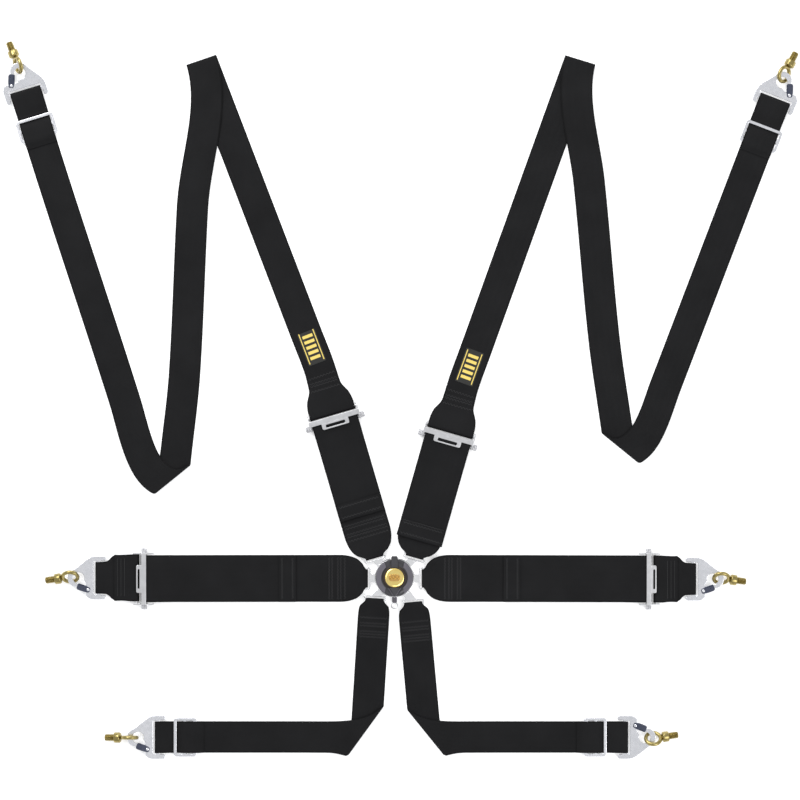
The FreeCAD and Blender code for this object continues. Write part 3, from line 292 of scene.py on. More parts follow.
WEBBING = web_material("black_webbing", (0.0025, 0.0025, 0.0028), (0.0125, 0.0125, 0.0135), 0.9)
THREAD = thread_material("black_thread", (0.005, 0.005, 0.0055), (0.018, 0.018, 0.020))
YELLOW = thread_material("yellow_thread", (0.62, 0.44, 0.05), (0.84, 0.68, 0.20))
LABEL = label_material()
ZINC = metal("bright_zinc", (0.70, 0.71, 0.74), (0.88, 0.88, 0.91), 0.26)
HOUSING = metal("plated_housing", (0.86, 0.86, 0.87), (0.97, 0.97, 0.97), 0.22)
SATIN = metal("satin_steel", (0.55, 0.55, 0.56), (0.76, 0.76, 0.77), 0.34)
INNER = metal("oiled_steel", (0.36, 0.36, 0.37), (0.50, 0.50, 0.51), 0.30)
SPRING = metal("spring_wire", (0.16, 0.16, 0.18), (0.27, 0.27, 0.29), 0.28)
YELLOW_ZINC = metal("yellow_zinc", (0.20, 0.155, 0.045), (0.47, 0.39, 0.17), 0.27)
GOLD = metal("gold_cap", (0.84, 0.62, 0.16), (0.98, 0.80, 0.34), 0.24, 0.03)
AMBER = metal("amber_badge", (0.60, 0.34, 0.09), (0.80, 0.52, 0.18), 0.26, 0.03)
DARK_GOLD = metal("dark_gold", (0.30, 0.15, 0.03), (0.46, 0.26, 0.06), 0.30, 0.03)
# Dark brown for the ring in the knob's dish round the cap: painted shadow cast by the cap's rim.
CAP_SHADOW = coated("painted_cap_shadow", (0.016, 0.010, 0.006), (0.034, 0.021, 0.012), 0.5)
BLUED = metal("blued_steel", (0.055, 0.065, 0.095), (0.13, 0.14, 0.19), 0.30, 0.05)
KNOB = coated("knob_coating", (0.024, 0.024, 0.027), (0.048, 0.047, 0.053), 0.42, 0.2, 0.25)
# A lighter copy of the knob coating for the grips, the pointer's edges and the release neck: painted
# highlight.
GRIP_HIGHLIGHT = coated("grip_painted_highlight", (0.085, 0.080, 0.095), (0.135, 0.128, 0.150), 0.40, 0.2, 0.25)
KNURLED = knurled_metal("knurled_steel", (0.38, 0.38, 0.40), (0.82, 0.82, 0.84), 1.4)


# ---------------------------------------------------------------- mesh building

def finish_piece(shells, name, material, body=None, nodes=(), sharp=35):
    """Turns shells in millimetres into a piece of the object that rides on a body."""
    mesh = shells.mesh(name)
    mesh.transform(Matrix.Scale(MM, 4))
    mesh.validate()
    mesh.shade_smooth()
    mesh.set_sharp_from_angle(angle=math.radians(sharp))
    mesh.materials.append(material)
    piece = bpy.data.objects.new(name, mesh)
    bpy.context.scene.collection.objects.link(piece)
    if body:
        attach(piece, body)
    if nodes:
        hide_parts(*nodes)
    return piece


def tube_faces(rows, sides, closed=False):
    """Quads between neighbouring rings of points."""
    faces = []
    for row in range(rows if closed else rows - 1):
        start, end = row * sides, (row + 1) % rows * sides
        for side in range(sides):
            other = (side + 1) % sides
            faces.append([start + side, start + other, end + other, end + side])
    return faces


def tube_ends(rows, sides):
    return [list(range(sides))[::-1], [(rows - 1) * sides + side for side in range(sides)]]


class Shells:
    """Gathers several closed shells, in millimetres, into one mesh."""

    def __init__(self):
        self.points = []
        self.faces = []
        self.uvs = []

    def add(self, points, faces, place=None, uvs=None):
        base = len(self.points)
        for point in points:
            point = Vector(point)
            self.points.append(place @ point if place is not None else point)
        for index, face in enumerate(faces):
            self.faces.append([base + corner for corner in face])
            self.uvs.append(uvs[index] if uvs else None)

    def add_mesh(self, mesh, place=None):
        faces = [list(face.vertices) for face in mesh.polygons]
        self.add([vertex.co for vertex in mesh.vertices], faces, place)

    def lathe(self, profile, steps, place, axis_x=True):
        """Turns (position along the axis, radius) pairs about x, or about z."""
        points = []
        faces = tube_faces(len(profile), steps)
        uvs = []
        for along, radius in profile:
            for step in range(steps):
                angle = 2 * math.pi * step / steps
                ring = (radius * math.cos(angle), radius * math.sin(angle))
                points.append((along, *ring) if axis_x else (*ring, along))
        widest = max(radius for _, radius in profile)
        length = 0.0
        for row in range(len(profile) - 1):
            before, after = profile[row], profile[row + 1]
            further = length + math.hypot(after[0] - before[0], after[1] - before[1])
            for step in range(steps):
                u0 = 2 * math.pi * widest * step / steps
                u1 = 2 * math.pi * widest * (step + 1) / steps
                uvs.append([(u0, length), (u1, length), (u1, further), (u0, further)])
            length = further
        for row in (0, len(profile) - 1):
            if profile[row][1] > 1e-6:
                ring = [row * steps + step for step in range(steps)]
                faces.append(ring if row else ring[::-1])
                uvs.append([(0, 0)] * steps)
        self.add(points, faces, place, uvs)

    def ring(self, radius, wire, place, steps=64, sides=20):
        """A torus about y."""
        points = []
        for step in range(steps):
            turn = 2 * math.pi * step / steps
            for side in range(sides):
                roll = 2 * math.pi * side / sides
                reach = radius + wire * math.cos(roll)
                points.append((reach * math.cos(turn), wire * math.sin(roll), reach * math.sin(turn)))
        self.add(points, tube_faces(steps, sides, True), place)

    def mesh(self, name):
        mesh = bpy.data.meshes.new(name)
        mesh.from_pydata([tuple(point) for point in self.points], [], self.faces)
        layer = mesh.uv_layers.new(name="surface")
        for face, uvs in zip(mesh.polygons, self.uvs):
            if uvs:
                for loop, uv in zip(face.loop_indices, uvs):
                    layer.data[loop].uv = uv
        return mesh


def rounded(corners, steps=6):
    """Rounds the corners of an outline. Each corner is (x, y, radius)."""
    points = []
    count = len(corners)
    for index, (x, y, radius) in enumerate(corners):
        here = Vector((x, y))
        before = Vector(corners[index - 1][:2]) - here
        after = Vector(corners[(index + 1) % count][:2]) - here
        if radius <= 0:
            points.append((x, y))
            continue
        a, b = before.normalized(), after.normalized()
        half = a.angle(b) / 2
        reach = min(radius / math.tan(half), before.length * 0.49, after.length * 0.49)
        size = reach * math.tan(half)
        middle = here + (a + b).normalized() * (size / math.sin(half))
        start = here + a * reach - middle
        end = here + b * reach - middle
        sweep = start.angle_signed(end)
        for step in range(steps + 1):
            turned = start.copy()
            turned.rotate(Matrix.Rotation(-sweep * step / steps, 2))
            points.append(tuple(middle + turned))
    return points


def rectangle(x0, y0, x1, y1, radius, steps=6):
    return rounded([(x0, y0, radius), (x1, y0, radius), (x1, y1, radius), (x0, y1, radius)], steps)


def arc(x, y, radius, first, last, steps):
    return [(x + radius * math.cos(math.radians(first + (last - first) * step / steps)),
             y + radius * math.sin(math.radians(first + (last - first) * step / steps)))
            for step in range(steps + 1)]


def plate_mesh(outlines, thickness, edge, resolution=3):
    """A flat plate, centred on z = 0, with holes and rounded edges, as a mesh in millimetres."""
    curve = bpy.data.curves.new("plate", "CURVE")
    curve.dimensions = "2D"
    curve.fill_mode = "BOTH"
    curve.extrude = thickness / 2 - edge
    curve.bevel_depth = edge
    curve.offset = -edge
    curve.bevel_resolution = resolution
    for outline in outlines:
        spline = curve.splines.new("POLY")
        spline.points.add(len(outline) - 1)
        for point, (x, y) in zip(spline.points, outline):
            point.co = (x, y, 0, 1)
        spline.use_cyclic_u = True
    holder = bpy.data.objects.new("plate", curve)
    bpy.context.scene.collection.objects.link(holder)
    bpy.context.view_layer.update()
    mesh = bpy.data.meshes.new_from_object(holder.evaluated_get(bpy.context.evaluated_depsgraph_get()))
    bpy.data.objects.remove(holder)
    bpy.data.curves.remove(curve)
    return mesh


def raised(height):
    return Matrix.Translation((0, 0, height))


def heading_matrix(point, heading):
    place = Matrix.Rotation(math.radians(heading), 4, "Z")
    place.translation = Vector((point[0], point[1], 0))
    return place


def axes_matrix(origin, x, y):
    z = x.cross(y)
    place = Matrix((x, y, z)).transposed().to_4x4()
    place.translation = origin
    return place


def heading_of(vector):
    return math.degrees(math.atan2(vector[1], vector[0]))


def polar(angle, radius):
    return Vector((radius * math.cos(math.radians(angle)), radius * math.sin(math.radians(angle)), 0))


# ---------------------------------------------------------------- where the fittings are

def joint_point(name):
    return Vector(JOINTS[name]["pos_m"]) / MM


def joint_axis(name):
    return Vector(JOINTS[name]["axis"])


def hook_ground(name):
    """The strap's frame under a hook's bar."""
    y = -joint_axis(name + "_hook_swing")
    origin = joint_point(name + "_hook_swing")
    origin.z = 0
    return axes_matrix(origin, y.cross(UP), y)


def hook_place(name):
    z = joint_axis(name + "_gate_open")
    y = joint_axis(name + "_hook_swing")
    if z.z > 0:
        y = -y
    return axes_matrix(joint_point(name + "_hook_swing"), y.cross(z), y)


def gate_place(name):
    place = hook_place(name).to_3x3() @ Matrix.Rotation(math.radians(20), 3, "Z")
    place = place.to_4x4()
    place.translation = joint_point(name + "_gate_open")
    return place


def eye_place(name):
    x = Vector(MOUNTS[name + "_stem"]["axis"])
    return axes_matrix(joint_point(name + "_eye_swing"), x, joint_axis(name + "_eye_swing"))


def adjuster_place(name):
    y = joint_axis(name + "_adjuster_tilt")
    x = y.cross(UP)
    origin = joint_point(name + "_adjuster_tilt")
    if name in SHOULDERS:
        origin = origin - x * SHOULDER_SLEEVE
    origin.z = 0
    return axes_matrix(origin, x, y)


def head_heading(name):
    goal = adjuster_place(name).translation if name not in CROTCHES else CROTCH_FOLDS[name]
    return heading_of((goal[0] - HEADS[name][0], goal[1] - HEADS[name][1]))


def head_place(name):
    return heading_matrix(HEADS[name], head_heading(name))


# ---------------------------------------------------------------- webbing

def layer(number):
    return WEB * (number - 0.5) + 0.15 * number


def eased(values, distances):
    """Slopes that let each value run smoothly from station to station without overshoot."""
    count = len(values)
    rates = [(values[i + 1] - values[i]) / (distances[i + 1] - distances[i]) for i in range(count - 1)]
    slopes = [rates[0]]
    for before, after in zip(rates, rates[1:]):
        slopes.append(0.0 if before * after <= 0 else 2 * before * after / (before + after))
    slopes.append(rates[-1])
    return slopes


class Webbing:
    """A strap as a row of cross lines, each with a centre, an across direction and a half width."""

    def __init__(self):
        self.lines = []

    def add(self, centre, across, half_width):
        across = Vector(across).normalized()
        if self.lines and self.lines[-1][1].dot(across) < 0:
            across = -across
        self.lines.append((Vector(centre), across, half_width))

    def local(self, place, x, z, half_width):
        self.add(place @ Vector((x, 0, z)), place.to_3x3() @ Vector((0, 1, 0)), half_width)

    def stations(self, place, rows):
        """Several cross lines in a local frame, each (x, z, half width)."""
        for x, z, half_width in rows:
            self.local(place, x, z, half_width)

    def flat(self, x, y, z, heading, half_width):
        self.add((x, y, z), polar(heading + 90, 1), half_width)

    def loop(self, place, bar_x, bar_z, radius, half_width, first, last, steps=20):
        for step in range(steps + 1):
            angle = math.radians(first + (last - first) * step / steps)
            x, z = bar_x + radius * math.cos(angle), bar_z + radius * math.sin(angle)
            self.local(place, x, z, half_width)

    def skewed(self, centre, heading, skew, half_width):
        across = polar(heading + 90, 1) + polar(heading, skew)
        self.add(centre, across, half_width * across.length)

    def fold(self, centre, z, heading, crease, half_width, steps=14):
        travel = polar(heading, 1)
        along = polar(crease, 1)
        if along.dot(polar(heading + 90, 1)) < 0:
            along = -along
        skew = along.dot(travel) / along.dot(polar(heading + 90, 1))
        lead = half_width * abs(skew) + 8
        start = Vector((centre[0], centre[1], z))
        for step in range(8):
            share = step / 8
            self.skewed(start - travel * (lead * (1 - share)), heading, skew * share, half_width)
        out = (travel - along * along.dot(travel)).normalized()
        stretch = math.hypot(1, skew)
        for step in range(steps + 1):
            angle = math.pi * step / steps
            middle = start + along * (FOLD_RADIUS * angle * skew) + out * (FOLD_RADIUS * math.sin(angle))
            middle = middle + UP * (FOLD_RADIUS * (1 - math.cos(angle)))
            self.add(middle, along, half_width * stretch)
        return middle, 2 * crease - heading

    def bend(self, start, start_heading, end, end_heading, half_width, height, steps=24):
        reach = math.hypot(end[0] - start.x, end[1] - start.y) / 3
        a = Vector((start.x, start.y, 0))
        d = Vector((end[0], end[1], 0))
        b = a + polar(start_heading, reach)
        c = d - polar(end_heading, reach)
        crease = self.lines[-1][1]
        skew = crease.dot(polar(start_heading, 1)) / crease.dot(polar(start_heading + 90, 1))
        for step in range(1, steps + 1):
            t = step / steps
            s = 1 - t
            point = a * s ** 3 + b * (3 * s * s * t) + c * (3 * s * t * t) + d * t ** 3
            slope = (b - a) * (s * s) + (c - b) * (2 * s * t) + (d - c) * (t * t)
            point = point + UP * (start.z + t * (height - start.z))
            self.skewed(point, heading_of(slope), skew * s, half_width)

    def smooth(self, spacing=5.0):
        """Fills in between the cross lines and gives each its distance along the strap."""
        distances = [0.0]
        for before, after in zip(self.lines, self.lines[1:]):
            distances.append(distances[-1] + (after[0] - before[0]).length)
        columns = [[*centre, *across, half] for centre, across, half in self.lines]
        slopes = [eased([row[i] for row in columns], distances) for i in range(7)]
        rows = []
        for index in range(len(columns) - 1):
            gap = distances[index + 1] - distances[index]
            pieces = max(1, math.ceil(gap / spacing))
            for piece in range(pieces + (index == len(columns) - 2)):
                t = piece / pieces
                values = []
                for i in range(7):
                    p, q = columns[index][i], columns[index + 1][i]
                    m, n = slopes[i][index] * gap, slopes[i][index + 1] * gap
                    values.append((2 * t ** 3 - 3 * t * t + 1) * p + (t ** 3 - 2 * t * t + t) * m
                                  + (3 * t * t - 2 * t ** 3) * q + (t ** 3 - t * t) * n)
                centre = Vector(values[:3])
                across = Vector(values[3:6]).normalized()
                rows.append((centre, across, values[6], distances[index] + t * gap))
        framed = []
        for index, (centre, across, half, distance) in enumerate(rows):
            before = rows[max(index - 1, 0)][0]
            after = rows[min(index + 1, len(rows) - 1)][0]
            travel = after - before
            normal = travel.cross(across).normalized()
            framed.append((centre, across, normal, half, distance))
        return framed

    def shell(self, shells, thickness=WEB, columns=12, edge_steps=4):
        """Adds the strap's closed surface, with rounded selvages, and its surface coordinates."""
        rows = self.smooth()
        radius = thickness / 2
        section = []
        for column in range(columns + 1):
            section.append((-1 + 2 * column / columns, 0.0, 1.0))
        for step in range(1, edge_steps):
            angle = math.pi / 2 - math.pi * step / edge_steps
            section.append((1.0, math.cos(angle), math.sin(angle)))
        for column in range(columns + 1):
            section.append((1 - 2 * column / columns, 0.0, -1.0))
        for step in range(1, edge_steps):
            angle = -math.pi / 2 - math.pi * step / edge_steps
            section.append((-1.0, math.cos(angle), math.sin(angle)))
        count = len(section)
        points = []
        surface = []
        for centre, across, normal, half, distance in rows:
            straight = half - radius
            for share, out, up in section:
                offset = share * straight + out * radius
                points.append(centre + across * offset + normal * (up * radius))
                surface.append(((offset, distance), (half - abs(offset), distance)))
        faces = tube_faces(len(rows), count) + tube_ends(len(rows), count)
        base = len(shells.points)
        shells.add(points, faces)
        shells.pairs.update({base + index: pair for index, pair in enumerate(surface)})
        return rows


class WebShells(Shells):
    """Shells whose points also carry surface and edge coordinates."""

    def __init__(self):
        super().__init__()
        self.pairs = {}

    def mesh(self, name):
        mesh = bpy.data.meshes.new(name)
        mesh.from_pydata([tuple(point) for point in self.points], [], self.faces)
        surface = mesh.uv_layers.new(name="surface")
        edge = mesh.uv_layers.new(name="edge")
        for loop in mesh.loops:
            first, second = self.pairs.get(loop.vertex_index, ((0, 0), (9, 0)))
            surface.data[loop.index].uv = first
            edge.data[loop.index].uv = second
        return mesh


def row_at(rows, distance):
    """The strap's frame at a distance along it: centre, across, normal, half width."""
    for before, after in zip(rows, rows[1:]):
        if after[4] >= distance:
            share = (distance - before[4]) / max(after[4] - before[4], 1e-9)
            return (before[0].lerp(after[0], share), before[1].lerp(after[1], share).normalized(),
                    before[2].lerp(after[2], share).normalized(),
                    before[3] + share * (after[3] - before[3]))
    return rows[-1][:4]


STITCH = [(-1.0, 0.0), (-0.82, 0.55), (-0.35, 0.95), (0.35, 0.95), (0.82, 0.55), (1.0, 0.0)]


def stitch(shells, start, end, normal, width=0.42):
    """One thread: a slim bead lying on the webbing."""
    middle = (start + end) / 2
    along = end - start
    half = along.length / 2
    x = along.normalized()
    y = normal.cross(x).normalized()
    z = x.cross(y)
    points = []
    sides = 6
    for place, swell in STITCH:
        for side in range(sides):
            angle = 2 * math.pi * side / sides
            points.append(middle + x * (place * half) + y * (math.cos(angle) * width * max(swell, 0.12))
                          + z * (math.sin(angle) * width * 0.7 * max(swell, 0.12)))
    shells.add(points, tube_faces(len(STITCH), sides) + tube_ends(len(STITCH), sides))


def on_surface(rows, distance, offset, side):
    centre, across, normal, half = row_at(rows, distance)
    return centre + across * offset + normal * (side * (WEB / 2 + 0.05)), normal * side


def zigzag(shells, rows, distance, margin=5.0, pitch=2.6, height=3.4):
    """A zigzag row of thread across the strap, on its upper face."""
    side = upward(rows, distance)
    half = row_at(rows, distance)[3] - margin
    count = max(2, int(2 * half / pitch))
    previous = None
    for index in range(count + 1):
        offset = -half + 2 * half * index / count
        swing = height / 2 if index % 2 else -height / 2
        point, normal = on_surface(rows, distance + swing, offset, side)
        if previous is not None:
            stitch(shells, previous, point, normal)
        previous = point


def seam(shells, rows, distance, margin=3.0, length=2.9, gap=0.7):
    """A straight row of stitches across the strap, on its upper face."""
    side = upward(rows, distance)
    half = row_at(rows, distance)[3] - margin
    offset = -half
    while offset + length < half:
        start, normal = on_surface(rows, distance, offset, side)
        end, normal = on_surface(rows, distance, offset + length, side)
        stitch(shells, start, end, normal)
        offset += length + gap


def tongue_loop(web, name, half_width):
    """Round a tongue's slot, where the webbing is gathered to the slot's width."""
    place = head_place(name)
    flare = 34.0 if half_width > 30 else 22.0
    spread_out = half_width - GATHERED
    shape = [(flare + 10, half_width), (flare, half_width - 0.04 * spread_out),
             (flare * 0.58, half_width - 0.22 * spread_out), (9.0, GATHERED + 0.40 * spread_out)]
    web.local(place, 68.0, layer(1), half_width)
    for (x, half), z in zip(shape, (layer(1), layer(1) + 0.05, 1.5, 1.9)):
        web.local(place, x, z, half)
    web.loop(place, 3.1, 4.3, 2.4, GATHERED, 270, 90, 16)
    for (x, half), z in zip(shape[::-1], (6.7, 5.6, 4.0, 3.0)):
        web.local(place, x, z, half)
    web.local(place, 72.0, layer(2) + 0.2, half_width)


def web_piece(web, title, body=None, nodes=()):
    """Makes a piece from a strap's cross lines. Gives its rows too."""
    shells = WebShells()
    rows = web.shell(shells)
    return rows, finish_piece(shells, title, WEBBING, body, nodes)


def thread_piece(threads, title, body=None):
    return finish_piece(threads, title, THREAD, body)


def distance_to(rows, place, x, lowest=None):
    """The distance along a strap at which it passes a local x, on the layer above a height."""
    inverse = place.inverted()
    best = min((row for row in rows if lowest is None or row[0].z > lowest),
               key=lambda row: abs((inverse @ row[0]).x - x))
    return best[4]


def upward(rows, distance):
    return 1 if row_at(rows, distance)[2].z > 0 else -1


def hem_stitching(threads, rows):
    """Two rows across the sewn end of a tail."""
    end = rows[-1][4]
    for back in (HEM - 4, 5):
        zigzag(threads, rows, end - back)


def tongue_stitching(threads, rows, name, half_width):
    place = head_place(name)
    spots = (38, 44, 50, 56, 62) if half_width > 30 else (34, 40, 46, 52, 58, 64)
    for x in spots:
        zigzag(threads, rows, distance_to(rows, place, x, 2.0), 4.0)


def lower_shoulder(name):
    """The webbing between tongue and adjuster, its bight round the bar, and the tail on top."""
    place = head_place(name)
    adjuster = adjuster_place(name)
    length = (adjuster.translation - place.translation).length
    web = Webbing()
    tongue_loop(web, name, WIDE)
    web.stations(place, (
        (95.0, layer(1) + 0.1, WIDE),
        (length - 30, layer(1) + 0.1, WIDE),
        (length - 10, 1.0, WIDE),
    ))
    web.loop(place, length, *ROLLER, WIDE, 270, 450, 24)
    web.stations(place, (
        (length - 14, 7.9, WIDE),
        (length - 30, 4.6, WIDE),
        (length - 48, layer(2) + 0.3, WIDE),
        (112.0, layer(2) + 0.3, WIDE),
        (76.0, layer(3) + 0.6, WIDE),
    ))
    end = TAILS[name]
    if end > 60:
        web.loop(place, end, layer(3) + 1.45, 0.85, WIDE, 270, 90, 12)
        web.local(place, 76.0, layer(3) + 2.3, WIDE)
        web.local(place, end + HEM, layer(3) + 1.4, WIDE)
    else:
        web.local(place, end + 16, 5.9, WIDE)
        web.local(place, end + 8, 6.6, WIDE)
        web.loop(place, end, 8.25, 0.85, WIDE, 270, 90, 12)
        web.stations(place, (
            (end + 8, 8.3, WIDE),
            (end + 16, 7.6, WIDE),
            (end + HEM, 7.2, WIDE),
        ))
    rows, piece = web_piece(web, name + "_lower_web", None, (name + "_lower_webbing",))
    threads = Shells()
    tongue_stitching(threads, rows, name, WIDE)
    hem_stitching(threads, rows)
    stitches = thread_piece(threads, name + "_lower_thread")
    for item in (piece, stitches):
        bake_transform(item)


def hump(web, name):
    """From the strap's hook loop back to the slide: under its front bar and over the other two."""
    ground = hook_ground(name)
    back = SLIDES[name]
    web.loop(ground, 0.0, *HOOK_BAR, NARROW, 270, 450, 24)
    web.stations(ground, (
        (-back + back * 0.45, 6.3, NARROW),
        (-back + 5, layer(2), NARROW),
        (-back - 4, layer(2), NARROW),
        (-back - 7.5, 4.4, NARROW),
        (-back - 12.3, 7.05, NARROW),
        (-back - 15.5, 7.25, NARROW),
        (-back - 36.0, 7.05, NARROW),
        (-back - 39.5, 5.6, NARROW),
        (-back - 43.0, 3.3, NARROW),
        (-back - 46.0, 2.5, NARROW),
    ))


def hook_end(name):
    """The short return of webbing from the hook's bar through the slide."""
    web = Webbing()
    hump(web, name)
    _, piece = web_piece(web, name + "_hook_web")
    ground = hook_ground(name)
    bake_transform(piece)


def label(name, web_rows, distance):
    """A woven patch with plain stripes between two long bars, sewn on the strap."""
    centre, across, normal, _ = row_at(web_rows, distance)
    along = across.cross(normal).normalized()
    if along.y < 0:
        along = -along
    right = along.cross(UP)
    place = axes_matrix(centre + UP * (WEB / 2), right, along)
    ground = Shells()
    patch = plate_mesh([rectangle(-15, -28.5, 15, 28.5, 1.2)], 0.5, 0.15)
    ground.add_mesh(patch, place @ raised(0.2))
    finish_piece(ground, name + "_label", LABEL, name + "_strap")
    bars = Shells()
    above = place @ raised(0.55)
    for side in (-1, 1):
        x = side * 12.2
        edge = rectangle(x - 0.8, -26, x + 0.8, 26, 0.3)
        bars.add_mesh(plate_mesh([edge], 0.3, 0.1), above)
    for step in range(5):
        y = -18.0 + 9.0 * step
        stripe = rectangle(-8.6, y - 2.5, 8.6, y + 2.5, 0.6)
        bars.add_mesh(plate_mesh([stripe], 0.3, 0.1), above)
    finish_piece(bars, name + "_label_bars", YELLOW, name + "_strap")


def upper_shoulder(name):
    route = UPPER_ROUTES[name]
    place = adjuster_place(name)
    bar = SHOULDER_SLEEVE
    web = Webbing()
    web.stations(place, (
        (bar + 66, layer(1), NARROW),
        (bar + 44, layer(1), NARROW + 1),
        (bar + 22, layer(1), WIDE - 2),
    ))
    web.loop(place, bar, *SLEEVE_BAR, WIDE, 270, 90, 20)
    web.stations(place, (
        (bar + 9, 9.0, WIDE),
        (bar + 22, 6.3, WIDE - 2),
        (bar + 44, layer(2) + 0.8, NARROW + 1),
    ))
    start = place @ Vector((bar + 74, 0, 0))
    top, top_crease = route["top"]
    rising = heading_of((top[0] - start.x, top[1] - start.y))
    web.flat(start.x, start.y, layer(2) + 0.3, rising, NARROW)
    near = start + polar(rising, 60)
    web.flat(near.x, near.y, layer(1), rising, NARROW)
    over, falling = web.fold(top, layer(1), rising, top_crease, NARROW)
    down, down_heading = route["down"]
    web.bend(over, falling, down, down_heading, NARROW, layer(2))
    low = route["low"]
    web.flat(low[0], low[1], layer(1), down_heading, NARROW)
    bottom, bottom_crease = route["bottom"]
    final = heading_of((bottom[0] - low[0], bottom[1] - low[1]))
    over, leaving = web.fold(bottom, layer(1), final, bottom_crease, NARROW)
    out, out_heading = route["out"]
    web.bend(over, leaving, out, out_heading, NARROW, layer(1))
    ground = hook_ground(name)
    back = SLIDES[name]
    web.stations(ground, (
        (-back - 60, layer(1), NARROW),
        (-8.0, layer(1), NARROW),
        (0.0, 0.80, NARROW),
    ))
    rows, _ = web_piece(web, name + "_upper_web", name + "_strap", (name + "_upper_webbing",))
    rising_rows = [row for row in rows if row[4] < 420.0]
    threads = Shells()
    for x in (bar + 40, bar + 47, bar + 54, bar + 61):
        zigzag(threads, rows, distance_to(rising_rows, place, x, 1.8), 3.5)
    thread_piece(threads, name + "_upper_thread", name + "_strap")
    label(name, rows, distance_to(rising_rows, place, 130.0 if name == "left_shoulder" else 124.0))
    hook_end(name)


def lap_webbing(name):
    place = head_place(name)
    length = (adjuster_place(name).translation - place.translation).length
    web = Webbing()
    tongue_loop(web, name, WIDE)
    web.local(place, 95.0, layer(1) + 0.1, WIDE)
    web.local(place, length - 12, 1.0, WIDE)
    web.loop(place, length, *ROLLER, WIDE, 270, 450, 24)
    web.local(place, length - 30, 5.6, WIDE)
    web.local(place, length - 48, layer(2) + 0.3, WIDE)
    end = TAILS[name]
    web.local(place, end + 16, layer(2) + 0.3, WIDE)
    web.loop(place, end, layer(2) + 1.15, 0.85, WIDE, 270, 90, 12)
    web.local(place, end + HEM, layer(2) + 2.0, WIDE)
    rows, _ = web_piece(web, name + "_web", name + "_strap", (name + "_webbing",))
    threads = Shells()
    tongue_stitching(threads, rows, name, WIDE)
    hem_stitching(threads, rows)
    thread_piece(threads, name + "_thread", name + "_strap")


def lap_anchor(name):
    place = hook_ground(name)
    adjuster = adjuster_place(name)
    bar = -(place.translation - adjuster.translation).length - LAP_SLEEVE
    web = Webbing()
    web.stations(place, (
        (bar * 0.42, 4.9, NARROW + 12),
        (bar * 0.62, 5.9, WIDE - 1),
        (bar + 9, 9.0, WIDE),
    ))
    web.loop(place, bar, *SLEEVE_BAR, WIDE, 90, 270, 20)
    web.stations(place, (
        (bar * 0.62, layer(1), WIDE - 1),
        (bar * 0.42, layer(1), NARROW + 11),
        (-13.0, layer(1), NARROW + 1),
    ))
    web.loop(place, 0.0, *HOOK_BAR, NARROW, 270, 450, 24)
    web.stations(place, (
        (-13.0, 6.1, NARROW + 1),
        (bar * 0.42, layer(2) + 0.5, NARROW + 11),
        (bar * 0.60, layer(2) + 0.3, WIDE - 1.5),
    ))
    rows, _ = web_piece(web, name + "_anchor_web", name + "_anchor", (name + "_anchor_webbing",))
    threads = Shells()
    for distance in (5, 11, 17):
        seam(threads, rows, distance, 6.0)
    thread_piece(threads, name + "_anchor_thread", name + "_anchor")


def crotch_webbing(name):
    crease, out, heading = CROTCH_ROUTES[name]
    falling = head_heading(name)
    web = Webbing()
    tongue_loop(web, name, NARROW)
    web.local(head_place(name), 96.0, layer(1) + 0.1, NARROW)
    over, leaving = web.fold(CROTCH_FOLDS[name], layer(1), falling, crease, NARROW)
    web.bend(over, leaving, out, heading, NARROW, layer(2))
    ground = hook_ground(name)
    back = SLIDES[name]
    web.flat(out[0] + math.copysign(60.0, ground.translation.x), out[1], layer(1), heading, NARROW)
    web.stations(ground, (
        (-back - 45, layer(1), NARROW),
        (-8.0, layer(1), NARROW),
        (0.0, 0.80, NARROW),
    ))
    rows, _ = web_piece(web, name + "_web", name + "_strap", (name + "_webbing",))
    threads = Shells()
    tongue_stitching(threads, rows, name, NARROW)
    thread_piece(threads, name + "_thread", name + "_strap")
    hook_end(name)


# ---------------------------------------------------------------- buckle

def tongue(name):
    place = head_place(name)
    angle = heading_of(HEADS[name])
    to_head = place.inverted() @ heading_matrix((0, 0), angle)
    bolt = to_head @ Vector((BOLT_CIRCLE, 0, 0))
    blade = (to_head.to_3x3() @ Vector((1, 0, 0))).normalized()
    side = Vector((-blade.y, blade.x, 0))
    points = [(9.5, -18.5, 4), (9.5, 18.5, 4), (-4.7, 18.5, 4)]
    joins = []
    for sign in (1, -1):
        edge = bolt + side * (BLADE_HALF * sign)
        reach = (-4.7 - edge.x) / blade.x
        joins.append(edge + blade * reach)
    points.append((joins[0].x, joins[0].y, 1.5))
    near = bolt + side * BLADE_HALF
    far = bolt - side * BLADE_HALF
    nose = arc(bolt.x, bolt.y, BLADE_HALF, heading_of(side), heading_of(side) + 180, 16)
    rest = rounded([(joins[0].x, joins[0].y, 0), (near.x, near.y, 0), (far.x, far.y, 0),
                    (joins[1].x, joins[1].y, 1.5), (-4.7, -18.5, 4), (9.5, -18.5, 0)])
    outline = rounded(points) + nose + rest[3:-1]
    slot_edge = rectangle(-2.2, -15.5, 2.4, 15.5, 1.5)
    hole = arc(bolt.x, bolt.y, 4.1, 0, 360, 32)[:-1]
    shells = Shells()
    lift = place @ raised(4.3)
    shells.add_mesh(plate_mesh([outline, slot_edge, hole], 3.0, 0.5), lift)
    finish_piece(shells, name + "_tongue_plate", HOUSING, name + "_strap",
                 (name + "_tongue",))


